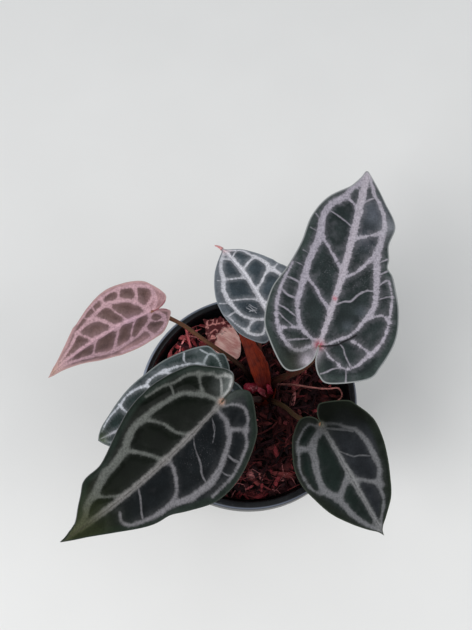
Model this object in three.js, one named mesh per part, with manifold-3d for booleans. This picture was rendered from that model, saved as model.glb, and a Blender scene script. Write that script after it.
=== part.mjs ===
// A young red crystallinum anthurium with six heart-shaped leaves, in a round nursery pot.
// Units are millimetres. +Z is up, +Y is the far side and the pot stands on z = 0 about the Z axis.

import * as THREE from "three";
import Module from "manifold-3d";

const wasm = await Module();
wasm.setup();
const { Manifold, Mesh, CrossSection } = wasm;

const TAU = Math.PI * 2;
const GAP = 0.3; // the clearance that separate pieces keep
const radians = THREE.MathUtils.degToRad;
const vec = (x, y, z) => new THREE.Vector3(x, y, z);

// One seeded stream of random numbers for everything that is scattered.
const random = (() => {
  let state = 20631;
  return (low = 0, high = 1) => {
    state = (state + 0x6d2b79f5) | 0;
    let t = Math.imul(state ^ (state >>> 15), 1 | state);
    t = (t + Math.imul(t ^ (t >>> 7), 61 | t)) ^ t;
    return low + (((t ^ (t >>> 14)) >>> 0) / 4294967296) * (high - low);
  };
})();

// Driving sizes.

const POT = {
  rimRadius: 50,
  height: 86,
  baseRadius: 38,
  wall: 1.2,
  skirtDrop: 8.4, // how far the thicker rim band reaches down
  sides: 48,
  drainHoles: 8,
  drainRadius: 3.5,
  drainRing: 27,
};
const MIX_LEVEL = 72; // mean height of the husk mix, before its chips
const CROWN = { x: 6.5, y: 5.5, bottom: 52, top: 81, radius: 5 };
const BLADE_THICKNESS = 0.7;

// Blade stations, as shares of the length from the junction to the tip.
// Every half width below is given at one of them; the first is half way down the lobe.
const STATIONS = [0, 0.15, 0.3, 0.45, 0.6, 0.74, 0.86, 0.94];
const SINUS_END = 0.05; // where the two lobes part, as a share of the half outline
const FAN_END = 0.4; // up to here the ribs fan out from the junction, then from the midrib

// A leaf stands at its junction with the petiole. heading turns its tip from +X towards +Y,
// pitch lifts the tip and roll lifts the right half. droop bends the midrib down along its
// length, sweep carries it sideways, and fold lifts both halves like an open book.
// Each half gives its lobe's depth and lowest point, half the sinus, and half widths.
// laterals are the places of the side veins along the half outline; dents are
// [place, depth, width] of the shallow notches in the edge.
const LEAVES = [
  {
    name: "leaf_back_right",
    at: [29, 12, 128],
    heading: 69.5, pitch: 2, roll: -11,
    length: 86, droop: 6, sweep: -0.06, fold: 14, lobeDrop: 1.5,
    wave: { height: 0.8, count: 2, phase: 0.1 },
    right: {
      lobe: 14, lobeAt: 9.5, sinus: 0.6,
      widths: [23, 26.5, 29, 26.5, 21, 16, 17, 10.5, 5],
      laterals: [0.55, 0.65, 0.765, 0.9], dents: [[0.64, 1.6, 0.02]],
    },
    left: {
      lobe: 15, lobeAt: 11, sinus: 0.4,
      widths: [20.5, 26, 27.5, 24, 21.5, 20.5, 15.5, 6.7, 2.6],
      laterals: [0.525, 0.66, 0.775, 0.86], dents: [],
    },
    petiole: {
      route: [[11.5, 8, 79], [12.5, 8.3, 86], [22.6, 9, 101], [28, 10.5, 115]],
      radius: 1.6,
    },
    colour: 0x3a4540,
  },
  {
    name: "leaf_front_left",
    at: [-11, -14, 136],
    heading: 226, pitch: -21, roll: -14,
    length: 93.5, droop: 6, sweep: 0.17, fold: 8, lobeDrop: 2,
    wave: { height: 0.8, count: 2, phase: 0.3 },
    right: {
      lobe: 11, lobeAt: 5, sinus: 0.4,
      widths: [15.5, 21.5, 27, 27, 23, 17.5, 16.5, 4.8, 1.2],
      laterals: [0.515, 0.615, 0.78], dents: [[0.8, 1.4, 0.047]],
    },
    left: {
      lobe: 10.5, lobeAt: 8, sinus: 0.4,
      widths: [17, 22.5, 28, 28, 22, 17.5, 11, 5.5, 2.4],
      laterals: [0.505, 0.595, 0.71], dents: [[0.62, 1, 0.033]],
    },
    petiole: {
      route: [[5, 1, 79], [4.5, -2.5, 95], [2.5, -7, 112], [-3, -11, 127]],
      radius: 1.5,
    },
    colour: 0x353f39,
  },
  {
    name: "leaf_under_left",
    at: [-10.5, 0, 114],
    heading: 200, pitch: -18, roll: 11,
    length: 67, droop: 15, sweep: 0, fold: 15, lobeDrop: 3,
    wave: { height: 0.6, count: 2, phase: 0 },
    right: {
      lobe: 5.5, lobeAt: 10.5, sinus: 0.8,
      widths: [12.5, 17, 19, 19, 17, 14.5, 11, 7.3, 4.3],
      laterals: [0.5, 0.62, 0.75], dents: [],
    },
    left: {
      lobe: 6.5, lobeAt: 9, sinus: 0.6,
      widths: [15.5, 19, 18.5, 17.5, 16, 13.5, 10.5, 7.2, 3.8],
      laterals: [0.54, 0.66, 0.78], dents: [],
    },
    petiole: {
      route: [[1.5, 3, 79], [-1.5, 1.2, 88], [-5.5, 1.2, 100], [-8.5, 0.8, 109]],
      radius: 1.3,
    },
    colour: 0x38433d,
  },
  {
    name: "leaf_young_pink",
    at: [-43, 32, 114],
    heading: 200, pitch: -9, roll: -17,
    length: 55, droop: 18, sweep: -0.11, fold: 21, lobeDrop: 3,
    wave: { height: 0.6, count: 2, phase: 0.6 },
    right: {
      lobe: 8.5, lobeAt: 5.5, sinus: 0.3,
      widths: [11.5, 14.5, 17, 18, 16, 11.5, 6.5, 3.1, 1.4],
      laterals: [0.42, 0.525, 0.63, 0.76], dents: [],
    },
    left: {
      lobe: 8.5, lobeAt: 4.5, sinus: 0.3,
      widths: [15.5, 17.5, 19, 18.5, 16, 11, 6, 2.6, 1.5],
      laterals: [0.475, 0.57, 0.675, 0.79], dents: [],
    },
    petiole: {
      route: [[3, 9.5, 79], [-3, 14, 90], [-18.7, 23.3, 98], [-30.4, 29, 107], [-38.5, 31.5, 111.5]],
      radius: 1.15,
    },
    colour: 0xb98f92,
  },
  {
    name: "leaf_back",
    at: [9.5, 29, 112],
    heading: 109, pitch: -14, roll: 3,
    length: 53, droop: 16, sweep: -0.14, fold: 15, lobeDrop: 3,
    wave: { height: 0.6, count: 2, phase: 0.2 },
    right: {
      lobe: 11, lobeAt: 9, sinus: 0.6,
      widths: [15.5, 20.5, 20, 19, 16.5, 13.5, 10.5, 7, 1.2],
      laterals: [0.5, 0.63, 0.77], dents: [],
    },
    left: {
      lobe: 10.5, lobeAt: 7.5, sinus: 0.6,
      widths: [14, 16.5, 18.5, 18.5, 16.5, 13, 8.5, 4, 1],
      laterals: [0.54, 0.695, 0.82], dents: [],
    },
    petiole: {
      route: [[7, 10.5, 79], [5, 17, 90.5], [5.5, 24, 101], [8.5, 27.5, 108]],
      radius: 1.3,
    },
    colour: 0x46524e,
  },
  {
    name: "leaf_front_right",
    at: [31, -16.5, 106],
    heading: 300.5, pitch: -15, roll: 0,
    length: 57, droop: 15, sweep: -0.03, fold: 15, lobeDrop: 3,
    wave: { height: 0.7, count: 2, phase: 0.5 },
    right: {
      lobe: 6.5, lobeAt: 7.5, sinus: 0.6,
      widths: [12.5, 15.5, 20, 21, 19, 16, 11, 5.8, 1.8],
      laterals: [0.54, 0.65, 0.78], dents: [],
    },
    left: {
      lobe: 8, lobeAt: 5, sinus: 0.3,
      widths: [14, 17, 20.5, 20, 17.5, 14, 10.5, 5.3, 1.2],
      laterals: [0.565, 0.71, 0.83], dents: [],
    },
    petiole: {
      route: [[9.5, 1.5, 79], [16.5, -5.5, 92], [21.5, -12, 100], [28, -15.5, 104]],
      radius: 1.2,
    },
    colour: 0x333d37,
  },
];

// Helpers for solids.

// A smooth curve through the points, as a dense list of [x, y].
function smooth(points, steps = 12) {
  const curve = new THREE.CatmullRomCurve3(
    points.map(([x, y]) => vec(x, y, 0)), false, "catmullrom", 0.5,
  );
  const list = [];
  for (let i = 0; i <= steps * (points.length - 1); i++) {
    const p = curve.getPoint(i / (steps * (points.length - 1)));
    list.push([p.x, p.y]);
  }
  return list;
}

// A closed solid from vertices and triangles that share those vertices.
function solid(vertices, triangles) {
  return new Manifold(
    new Mesh({
      numProp: 3,
      vertProperties: new Float32Array(vertices.flatMap((p) => [p.x, p.y, p.z])),
      triVerts: new Uint32Array(triangles.flat()),
    }),
  );
}

// A tube along a smooth route, its radius given as a function of the share of its length.
function tube(route, radiusAt, { segments = 14, sides = 8, flat = 1 } = {}) {
  const curve = new THREE.CatmullRomCurve3(route.map((p) => vec(...p)));
  const frames = curve.computeFrenetFrames(segments, false);
  const vertices = [];
  for (let i = 0; i <= segments; i++) {
    const centre = curve.getPointAt(i / segments);
    for (let k = 0; k < sides; k++) {
      const a = (k / sides) * TAU;
      vertices.push(
        centre.clone()
          .addScaledVector(frames.normals[i], Math.cos(a) * radiusAt(i / segments))
          .addScaledVector(frames.binormals[i], Math.sin(a) * radiusAt(i / segments) * flat),
      );
    }
  }
  const start = vertices.push(curve.getPointAt(0)) - 1;
  const end = vertices.push(curve.getPointAt(1)) - 1;
  const triangles = [];
  for (let i = 0; i < segments; i++)
    for (let k = 0; k < sides; k++) {
      const a = i * sides + k, b = i * sides + ((k + 1) % sides);
      triangles.push([a, b, b + sides], [a, b + sides, a + sides]);
    }
  for (let k = 0; k < sides; k++) {
    const next = (k + 1) % sides, last = segments * sides;
    triangles.push([start, next, k], [end, last + k, last + next]);
  }
  return solid(vertices, triangles);
}

function largestBody(shape) {
  return shape.decompose().sort((a, b) => b.volume() - a.volume())[0];
}

const turned = (points, sides) => new CrossSection([points]).revolve(sides);

// Leaf blade.

// The half outline from the junction round the lobe to the tip, as a function of the
// share of its length. The result is [distance from the midrib, distance along it].
function halfOutline(leaf, half) {
  const { lobe, lobeAt, sinus, widths } = half;
  const line = smooth([
    [0, 0],
    [sinus, -0.5 * lobe],
    [0.42 * lobeAt + 0.3 * sinus, -0.9 * lobe],
    [lobeAt, -lobe],
    [widths[0], -0.5 * lobe],
    ...STATIONS.map((s, i) => [widths[i + 1], s * leaf.length]),
    [0, leaf.length],
  ]);
  const reach = [0];
  for (let i = 1; i < line.length; i++)
    reach.push(reach[i - 1] + Math.hypot(line[i][0] - line[i - 1][0], line[i][1] - line[i - 1][1]));
  const total = reach[reach.length - 1];

  const pointAt = (t) => {
    const want = THREE.MathUtils.clamp(t, 0, 1) * total;
    let i = 1;
    while (i < line.length - 1 && reach[i] < want) i++;
    const f = (want - reach[i - 1]) / (reach[i] - reach[i - 1]);
    return [0, 1].map((k) => line[i - 1][k] + f * (line[i][k] - line[i - 1][k]));
  };
  return (t) => {
    const [x, y] = pointAt(t);
    const before = pointAt(t - 0.01), after = pointAt(t + 0.01);
    const along = [after[0] - before[0], after[1] - before[1]];
    const size = Math.hypot(...along) || 1;
    let depth = 0;
    for (const [place, deep, width] of half.dents) depth += deep * Math.exp(-(((t - place) / width) ** 2));
    return [x - (along[1] / size) * depth, y + (along[0] / size) * depth];
  };
}

const midribAt = (leaf, t) => leaf.length * THREE.MathUtils.clamp((t - FAN_END) / (1 - FAN_END), 0, 1);

// The two loops of vein that run round each half, as [place along the outline, share of the
// way from the midrib to the edge].
const INNER_LOOP = [[0.4, 0], [0.4, 0.25], [0.43, 0.44], [0.48, 0.6], [0.55, 0.72], [0.65, 0.75],
  [0.8, 0.76], [0.92, 0.7], [1, 0.5]];
const OUTER_LOOP = [[0.13, 0.15], [0.17, 0.45], [0.21, 0.64], [0.27, 0.76], [0.36, 0.83],
  [0.46, 0.87], [0.58, 0.92]];
const LATERAL_END = 0.74; // where a side vein meets the inner loop

function veins(leaf, half, outline) {
  const place = ([t, v]) => {
    const [x, y] = outline(t), m = midribAt(leaf, t);
    return [x * v, m + v * (y - m)];
  };
  return [
    [[0, 0], [0, leaf.length]],
    INNER_LOOP.map(place),
    OUTER_LOOP.map(place),
    ...half.laterals.map((t) => [place([t - 0.01, 0]), place([t, 0.4]), place([t, LATERAL_END])]),
  ];
}

function distanceTo(lines, x, y) {
  let best = Infinity;
  for (const line of lines)
    for (let i = 1; i < line.length; i++) {
      const [ax, ay] = line[i - 1], dx = line[i][0] - ax, dy = line[i][1] - ay;
      const f = THREE.MathUtils.clamp(((x - ax) * dx + (y - ay) * dy) / (dx * dx + dy * dy || 1), 0, 1);
      best = Math.min(best, Math.hypot(x - ax - f * dx, y - ay - f * dy));
    }
  return best;
}

const SWELL = { height: 0.8, reach: 2.4 }; // how far the cells stand up between the veins

// A point of the flat leaf plan, lifted by height, set into space.
function bladePoint(leaf, side, half, x, y, t, v, height) {
  const across = side * x, ahead = Math.max(y, 0), behind = Math.min(y, 0);
  const meanWidth = (leaf.right.widths[2] + leaf.left.widths[2]) / 2;
  const taper = THREE.MathUtils.clamp((leaf.length - y) / (0.35 * leaf.length), 0, 1);
  const { wave } = leaf;
  const lift =
    Math.tan(radians(leaf.fold)) * (Math.sqrt(x * x + 4) - 2) * (0.35 + 0.65 * taper) -
    (0.06 * x * x) / meanWidth -
    leaf.lobeDrop * (behind / 20) ** 2 +
    wave.height * v * v * Math.min(4 * t, 1) *
      Math.sin(TAU * (wave.count * t + wave.phase + (side > 0 ? 0 : 0.37))) +
    height;
  const turn = (radians(leaf.droop) * ahead) / leaf.length;
  const bend = radians(leaf.droop) / leaf.length;
  const local = vec(
    across + leaf.sweep * leaf.length * (ahead / leaf.length) ** 2,
    Math.sin(turn) / bend + behind + lift * Math.sin(turn),
    -(1 - Math.cos(turn)) / bend + lift * Math.cos(turn),
  );
  return local.applyMatrix4(leafFrame(leaf));
}

function leafFrame(leaf) {
  const [heading, pitch, roll] = [leaf.heading, leaf.pitch, leaf.roll].map(radians);
  const along = vec(
    Math.cos(heading) * Math.cos(pitch), Math.sin(heading) * Math.cos(pitch), Math.sin(pitch),
  );
  const level = vec(Math.sin(heading), -Math.cos(heading), 0);
  const up = level.clone().cross(along);
  const across = level.multiplyScalar(Math.cos(roll)).addScaledVector(up, Math.sin(roll));
  return new THREE.Matrix4()
    .makeBasis(across, along, across.clone().cross(along))
    .setPosition(...leaf.at);
}

const COLUMNS = [0, 0.1, 0.28, 0.46, 0.62, 0.75, 0.87, 1];
const LOBE_ROWS = [SINUS_END, 0.09, 0.13, 0.175, 0.225, 0.28, 0.34, FAN_END];

// Rows run along the side veins and half way between them, so the net shows in the facets.
function rowsOf(leaf) {
  const marks = [FAN_END, ...leaf.right.laterals, ...leaf.left.laterals, 0.96].sort((a, b) => a - b);
  const rows = [...LOBE_ROWS];
  for (let i = 1; i < marks.length; i++) {
    const steps = Math.max(1, Math.round((marks[i] - marks[i - 1]) / 0.045));
    for (let k = 1; k <= steps; k++) {
      const t = marks[i - 1] + ((marks[i] - marks[i - 1]) * k) / steps;
      if (t - rows[rows.length - 1] > 0.012) rows.push(t);
    }
  }
  return [...rows, 1];
}

function blade(leaf, thickness = BLADE_THICKNESS, swell = SWELL.height) {
  const rows = rowsOf(leaf);
  const vertices = [], triangles = [], known = new Map();
  // Both faces share one pattern; `face` is +1 for the upper and -1 for the lower one.
  const vertex = (side, i, j, face) => {
    const t = rows[i];
    let key = `${side} ${i} ${j}`;
    if (j === 0) key = t <= FAN_END ? "junction" : `midrib ${i}`;
    if (i === rows.length - 1) key = "tip";
    const id = `${key} ${face}`;
    if (!known.has(id)) {
      const half = side > 0 ? leaf.right : leaf.left;
      const { outline, lines } = halves[side];
      const [ox, oy] = outline(t), m = midribAt(leaf, t), v = COLUMNS[j];
      const x = ox * v, y = m + v * (oy - m);
      const rise = swell * (1 - Math.exp(-((distanceTo(lines, x, y) / SWELL.reach) ** 2)));
      known.set(id, vertices.push(
        bladePoint(leaf, side, half, x, y, t, v, rise + (face * thickness) / 2),
      ) - 1);
    }
    return known.get(id);
  };
  const halves = {};
  for (const [side, half] of [[1, leaf.right], [-1, leaf.left]]) {
    const outline = halfOutline(leaf, half);
    halves[side] = { outline, lines: veins(leaf, half, outline) };
  }
  const add = (a, b, c) => { if (a !== b && b !== c && c !== a) triangles.push([a, b, c]); };
  const last = rows.length - 1, edge = COLUMNS.length - 1;
  for (const side of [1, -1]) {
    for (let i = 0; i < last; i++)
      for (let j = 0; j < edge; j++)
        for (const face of [1, -1]) {
          const a = vertex(side, i, j, face), b = vertex(side, i, j + 1, face);
          const c = vertex(side, i + 1, j + 1, face), d = vertex(side, i + 1, j, face);
          if (side * face > 0) { add(a, b, c); add(a, c, d); }
          else { add(a, c, b); add(a, d, c); }
        }
    // the rim wall, along the sinus and then round the outline
    const rim = [];
    for (let j = 0; j <= edge; j++) rim.push([0, j]);
    for (let i = 1; i <= last; i++) rim.push([i, edge]);
    for (let k = 1; k < rim.length; k++) {
      const a = vertex(side, ...rim[k - 1], 1), b = vertex(side, ...rim[k], 1);
      const c = vertex(side, ...rim[k], -1), d = vertex(side, ...rim[k - 1], -1);
      if (side > 0) { add(a, c, b); add(a, d, c); }
      else { add(a, b, c); add(a, c, d); }
    }
  }
  return solid(vertices, triangles);
}

// Petioles and crown.

// Each petiole thickens at its foot and again in the knee just under the blade.
function petiole(leaf, extra = 0) {
  const { radius } = leaf.petiole;
  const [foot, ...route] = leaf.petiole.route;
  const radiusAt = (s) => extra + radius * (1 + 0.35 * (1 - s) ** 3 + 0.3 * Math.exp(-(((s - 0.93) / 0.06) ** 2)));
  return tube([[foot[0], foot[1], foot[2] - extra], ...route, leaf.at], radiusAt, { segments: 13 });
}

function crown() {
  const { x, y, bottom, top, radius } = CROWN;
  const stem = turned(
    [[0, bottom], [radius - 1.2, bottom], [radius - 0.6, 60], [radius, 70], [radius + 1, 76],
      [radius + 1.4, 79], [radius + 0.4, top], [radius - 2, top + 2], [0, top + 3]], 14,
  ).translate([x, y, 0]);
  // the husks of old leaf bases stand round the top like a collar
  const collar = [0.4, 1.7, 2.9, 4.2, 5.3].map((a) =>
    Manifold.sphere(2.6, 8).scale([1, 1, 1.7]).translate([
      x + Math.cos(a) * (radius - 0.2), y + Math.sin(a) * (radius - 0.2), top - 2,
    ]));
  return Manifold.union([stem, ...collar]);
}

// The rolled new growth that pushes out of the crown to the left.
const BUD = { route: [[3.4, 4.6, 85.6], [0.8, 5, 87.6], [-2, 4.8, 88]], radius: 2.3 };
const bud = (extra = 0) =>
  tube(BUD.route, (s) => extra + BUD.radius * (0.75 + 0.9 * s - 1.35 * s * s), { segments: 6 });

// The dry papery sheath of the last leaf: a curved strip with a channelled section.
const SHEATH = {
  route: [[6.5, 8.8, 86.2], [4.8, 12.6, 92], [2.2, 17.6, 98], [-1.2, 23, 103.5], [-3.6, 26.5, 107]],
  widths: [3.4, 4.4, 4.1, 3, 1.6],
  curl: 1.1,
  thickness: 0.8,
};
function sheath() {
  const curve = new THREE.CatmullRomCurve3(SHEATH.route.map((p) => vec(...p)));
  const widths = new THREE.CatmullRomCurve3(SHEATH.widths.map((w, i) => vec(w, i, 0)));
  const rows = 12, columns = 6, vertices = [], triangles = [];
  const id = (i, j, face) => (i * (columns + 1) + j) * 2 + face;
  for (let i = 0; i <= rows; i++) {
    const s = i / rows, centre = curve.getPoint(s), ahead = curve.getTangent(s);
    const across = ahead.clone().cross(vec(0, 0, 1)).normalize();
    const up = across.clone().cross(ahead).normalize();
    const half = widths.getPoint(s).x;
    for (let j = 0; j <= columns; j++) {
      const a = ((j / columns) * 2 - 1) * SHEATH.curl;
      const out = across.clone().multiplyScalar(Math.sin(a)).addScaledVector(up, -Math.cos(a));
      for (const face of [0, 1])
        vertices.push(centre.clone().addScaledVector(up, half * 0.6)
          .addScaledVector(out, half - face * SHEATH.thickness));
    }
  }
  const quad = (a, b, c, d) => triangles.push([a, b, c], [a, c, d]);
  for (let i = 0; i < rows; i++) {
    for (let j = 0; j < columns; j++) {
      quad(id(i, j, 0), id(i + 1, j, 0), id(i + 1, j + 1, 0), id(i, j + 1, 0));
      quad(id(i, j, 1), id(i, j + 1, 1), id(i + 1, j + 1, 1), id(i + 1, j, 1));
    }
    quad(id(i, 0, 0), id(i, 0, 1), id(i + 1, 0, 1), id(i + 1, 0, 0));
    quad(id(i, columns, 0), id(i + 1, columns, 0), id(i + 1, columns, 1), id(i, columns, 1));
  }
  for (let j = 0; j < columns; j++) {
    quad(id(0, j, 0), id(0, j + 1, 0), id(0, j + 1, 1), id(0, j, 1));
    quad(id(rows, j, 0), id(rows, j, 1), id(rows, j + 1, 1), id(rows, j + 1, 0));
  }
  return solid(vertices, triangles);
}

// Pot, mix and loose pieces.

function pot() {
  const { rimRadius: r, height: h, baseRadius: b, wall: w, skirtDrop } = POT;
  const neck = r - 2.4, low = h - skirtDrop;
  const shell = turned(
    [[0, 0], [b - 0.8, 0], [b, 0.8], [neck, low - 0.4], [r - 0.5, low], [r, low + 0.7],
      [r, h - 0.8], [r - 0.7, h], [neck - w + 0.6, h], [neck - w, h - 0.7],
      [neck - w - 0.1, low], [b - w, w + 0.4], [0, w + 0.4]], POT.sides,
  );
  const holes = [];
  for (let k = 0; k < POT.drainHoles; k++) {
    const a = ((k + 0.5) / POT.drainHoles) * TAU;
    holes.push(
      Manifold.cylinder(4, POT.drainRadius, POT.drainRadius, 12)
        .translate([Math.cos(a) * POT.drainRing, Math.sin(a) * POT.drainRing, -1]),
    );
  }
  return shell.subtract(Manifold.union(holes));
}

// The room inside the pot, kept clear of its wall and floor.
function potRoom() {
  const { rimRadius: r, height: h, baseRadius: b, wall: w, skirtDrop } = POT;
  const neck = r - 2.4 - w - GAP - 0.15;
  return turned(
    [[0, w + 0.4 + GAP], [b - w - GAP - 0.2, w + 0.4 + GAP], [neck - 0.1, h - skirtDrop],
      [neck - 0.1, h - 1], [0, h - 1]], POT.sides,
  );
}

// A split piece of coconut husk: a wedge with one thin end.
function chip(long, wide, thick) {
  const half = (x, y, z) => vec(x * long, y * wide, z * thick);
  const c = [half(-0.5, -0.4, -0.5), half(0.5, -0.5, -0.3), half(0.42, 0.5, -0.35), half(-0.5, 0.42, -0.5),
    half(-0.44, -0.5, 0.5), half(0.5, -0.36, 0.2), half(0.5, 0.4, 0.12), half(-0.5, 0.5, 0.42)];
  return Manifold.hull(c.map((p) => [p.x, p.y, p.z]));
}

const MIX = { chips: 62, fibres: 10, chipSpread: 43, fibreSpread: 36 };

// The mix stands a little higher towards the front than at the back.
const mixHeight = (x, y) => MIX_LEVEL + 1.6 - 0.045 * y + 0.9 * Math.sin(x / 9) * Math.cos(y / 8);

function mix(clearances) {
  const pieces = [turned([[0, 1.9], [46, 1.9], [46, MIX_LEVEL], [0, MIX_LEVEL]], 32)];
  for (let k = 0; k < MIX.chips; k++) {
    // a sunflower spiral spreads the chips evenly, and the draw moves each one off it
    const r = MIX.chipSpread * Math.sqrt((k + 0.5) / MIX.chips), a = k * 2.39996;
    const x = r * Math.cos(a) + random(-2, 2), y = r * Math.sin(a) + random(-2, 2);
    pieces.push(
      chip(random(8, 16), random(5, 9), random(3, 5.5))
        .rotate([random(-28, 28), random(-28, 28), random(0, 360)])
        .translate([x, y, mixHeight(x, y) - 0.6 + random(-1, 1)]),
    );
  }
  for (let k = 0; k < MIX.fibres; k++) {
    const r = MIX.fibreSpread * Math.sqrt(random(0.1, 1)), a = random(0, TAU), turn = random(0, TAU);
    const long = random(6, 12), x = r * Math.cos(a), y = r * Math.sin(a);
    const foot = (s) => [x + s * long * Math.cos(turn), y + s * long * Math.sin(turn), MIX_LEVEL - 3];
    const top = [x + random(-2, 2), y + random(-2, 2), mixHeight(x, y) + random(2.5, 4.5)];
    pieces.push(tube([foot(-1), top, foot(1)], () => 0.55, { segments: 5, sides: 4 }));
  }
  const whole = Manifold.union(pieces).intersect(potRoom());
  return largestBody(whole.subtract(Manifold.union(clearances)));
}

// The big salmon-coloured chip behind the crown leans on the mix.
const BIG_CHIP = {
  outline: [[-11, 3.5], [-6, 8.5], [1, 8], [7.5, 4.5], [10.5, -2], [8, -6.5], [1, -7], [-5, -3.5]],
  thick: 3.2,
  at: [-12.5, 30.5, 80.5],
  turn: [14, 10, -28],
};
function bigChip(extra = 0) {
  const flat = new CrossSection([[...BIG_CHIP.outline].reverse()]).offset(extra, "Miter");
  return flat.extrude(BIG_CHIP.thick + 2 * extra, 0, 0, [0.9, 0.88], true)
    .rotate(BIG_CHIP.turn).translate(BIG_CHIP.at);
}

const ROOT = {
  route: [[14, 10, 74], [21.3, 8.6, 78.6], [29, 7, 80], [37, 6, 80.8], [42.5, 6.2, 80.6], [44, 3, 79.6], [41, 0.5, 77], [38.5, 0, 73]],
  radius: 0.7,
};
function surfaceRoot(extra = 0) {
  const route = ROOT.route.map(([x, y, z], i) => [x, y, i % (ROOT.route.length - 1) ? z : z - extra]);
  return tube(route, (s) => extra + ROOT.radius * (1.1 - 0.3 * s), { segments: 18, sides: 6 });
}

// Assembly.

function geometryOf(shape) {
  const mesh = shape.getMesh();
  const geometry = new THREE.BufferGeometry();
  const positions = new Float32Array(mesh.numVert * 3);
  for (let i = 0; i < mesh.numVert; i++)
    positions.set(mesh.vertProperties.subarray(i * mesh.numProp, i * mesh.numProp + 3), i * 3);
  geometry.setAttribute("position", new THREE.BufferAttribute(positions, 3));
  geometry.setIndex(new THREE.BufferAttribute(mesh.triVerts, 1));
  geometry.computeVertexNormals();
  return geometry;
}

const plant = new THREE.Group();
plant.name = "potted_red_crystallinum_anthurium";

function addPiece(name, shape, colour, roughness) {
  const material = new THREE.MeshStandardMaterial({ color: colour, roughness, metalness: 0 });
  const mesh = new THREE.Mesh(geometryOf(shape), material);
  mesh.name = name;
  plant.add(mesh);
}

const crownShape = crown();
const petioleClearances = Manifold.union(LEAVES.map((leaf) => petiole(leaf, GAP + 0.15)));
// the stem's plain hole in the mix, wider at the top where the collar stands
const crownHole = turned(
  [[0, CROWN.bottom - GAP], [CROWN.radius + 0.7, CROWN.bottom - GAP], [CROWN.radius + 0.7, 70],
    [CROWN.radius + 3, 73], [CROWN.radius + 3, 90], [0, 90]], 20,
).translate([CROWN.x, CROWN.y, 0]);

addPiece("nursery_pot", pot(), 0x15151a, 0.45);
addPiece(
  "potting_mix",
  mix([crownHole, petioleClearances, bigChip(GAP + 0.1), surfaceRoot(GAP + 0.15)]),
  0x5a2a22, 0.9,
);
addPiece("large_husk_chip", bigChip(), 0xb5796a, 0.85);
addPiece("surface_root", surfaceRoot(), 0x7a3a33, 0.7);
addPiece("crown_stem", largestBody(crownShape.subtract(petioleClearances)), 0x4a2f24, 0.8);
addPiece("crimson_bud", bud(), 0x8f1f3c, 0.5);
addPiece("rust_sheath", sheath(), 0x7e3220, 0.75);
for (const leaf of LEAVES) {
  // the petiole ends just under the blade, and a disc keeps it out of the sinus too
  const disc = Manifold.sphere(1, 16).scale([4, 4, BLADE_THICKNESS / 2 + 2 * GAP])
    .transform(leafFrame(leaf).elements);
  const clearance = blade(leaf, BLADE_THICKNESS + 2 * GAP).add(disc);
  addPiece(leaf.name, blade(leaf), leaf.colour, 0.55);
  addPiece(
    leaf.name.replace("leaf", "petiole"),
    largestBody(petiole(leaf).subtract(clearance)),
    leaf.name === "leaf_young_pink" ? 0x6d5138 : 0x5d3f34, 0.6,
  );
}

export default plant;
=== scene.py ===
# A dressed model of a young red crystallinum anthurium in a round nursery pot.
# The shapes are worked out in millimetres and become metres when their meshes are made.
# +Z is up, +Y is the far side and the pot stands on z = 0 about the Z axis.

import itertools
import math

import bpy
import numpy as np
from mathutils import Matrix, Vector


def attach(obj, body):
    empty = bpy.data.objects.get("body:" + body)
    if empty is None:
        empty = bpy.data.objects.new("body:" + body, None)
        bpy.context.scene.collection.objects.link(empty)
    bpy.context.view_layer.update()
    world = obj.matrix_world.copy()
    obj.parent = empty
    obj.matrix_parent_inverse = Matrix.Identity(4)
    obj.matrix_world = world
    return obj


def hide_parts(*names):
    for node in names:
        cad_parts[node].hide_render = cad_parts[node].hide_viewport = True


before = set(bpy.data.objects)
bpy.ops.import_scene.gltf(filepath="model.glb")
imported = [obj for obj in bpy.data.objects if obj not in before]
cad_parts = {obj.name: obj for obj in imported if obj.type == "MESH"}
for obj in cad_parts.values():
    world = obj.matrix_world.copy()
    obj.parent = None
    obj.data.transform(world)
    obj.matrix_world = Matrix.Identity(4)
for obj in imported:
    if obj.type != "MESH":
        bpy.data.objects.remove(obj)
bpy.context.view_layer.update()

MM = 0.001
TAU = 2 * math.pi

# Driving sizes, the same as in the part's solids.

POT = dict(rim_radius=50, height=86, base_radius=38, wall=1.2, skirt_drop=8.4,
           drain_holes=8, drain_radius=3.5, drain_ring=27)
MIX_LEVEL = 72
CROWN = dict(x=6.5, y=5.5, bottom=52, top=81, radius=5)
STATIONS = [0, 0.15, 0.3, 0.45, 0.6, 0.74, 0.86, 0.94]
FAN_END = 0.4
SWELL_HEIGHT, SWELL_REACH = 0.8, 2.4

# Each leaf has the numbers of its solid: where its blade stands and how it bends, and for
# each half the lobe, the sinus, the half widths at the stations and the notches in the edge.
# Two numbers are finer than the solid: `tip`, half the width of a blunt end, and `fuller`,
# how much further out the lobe ends.

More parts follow.
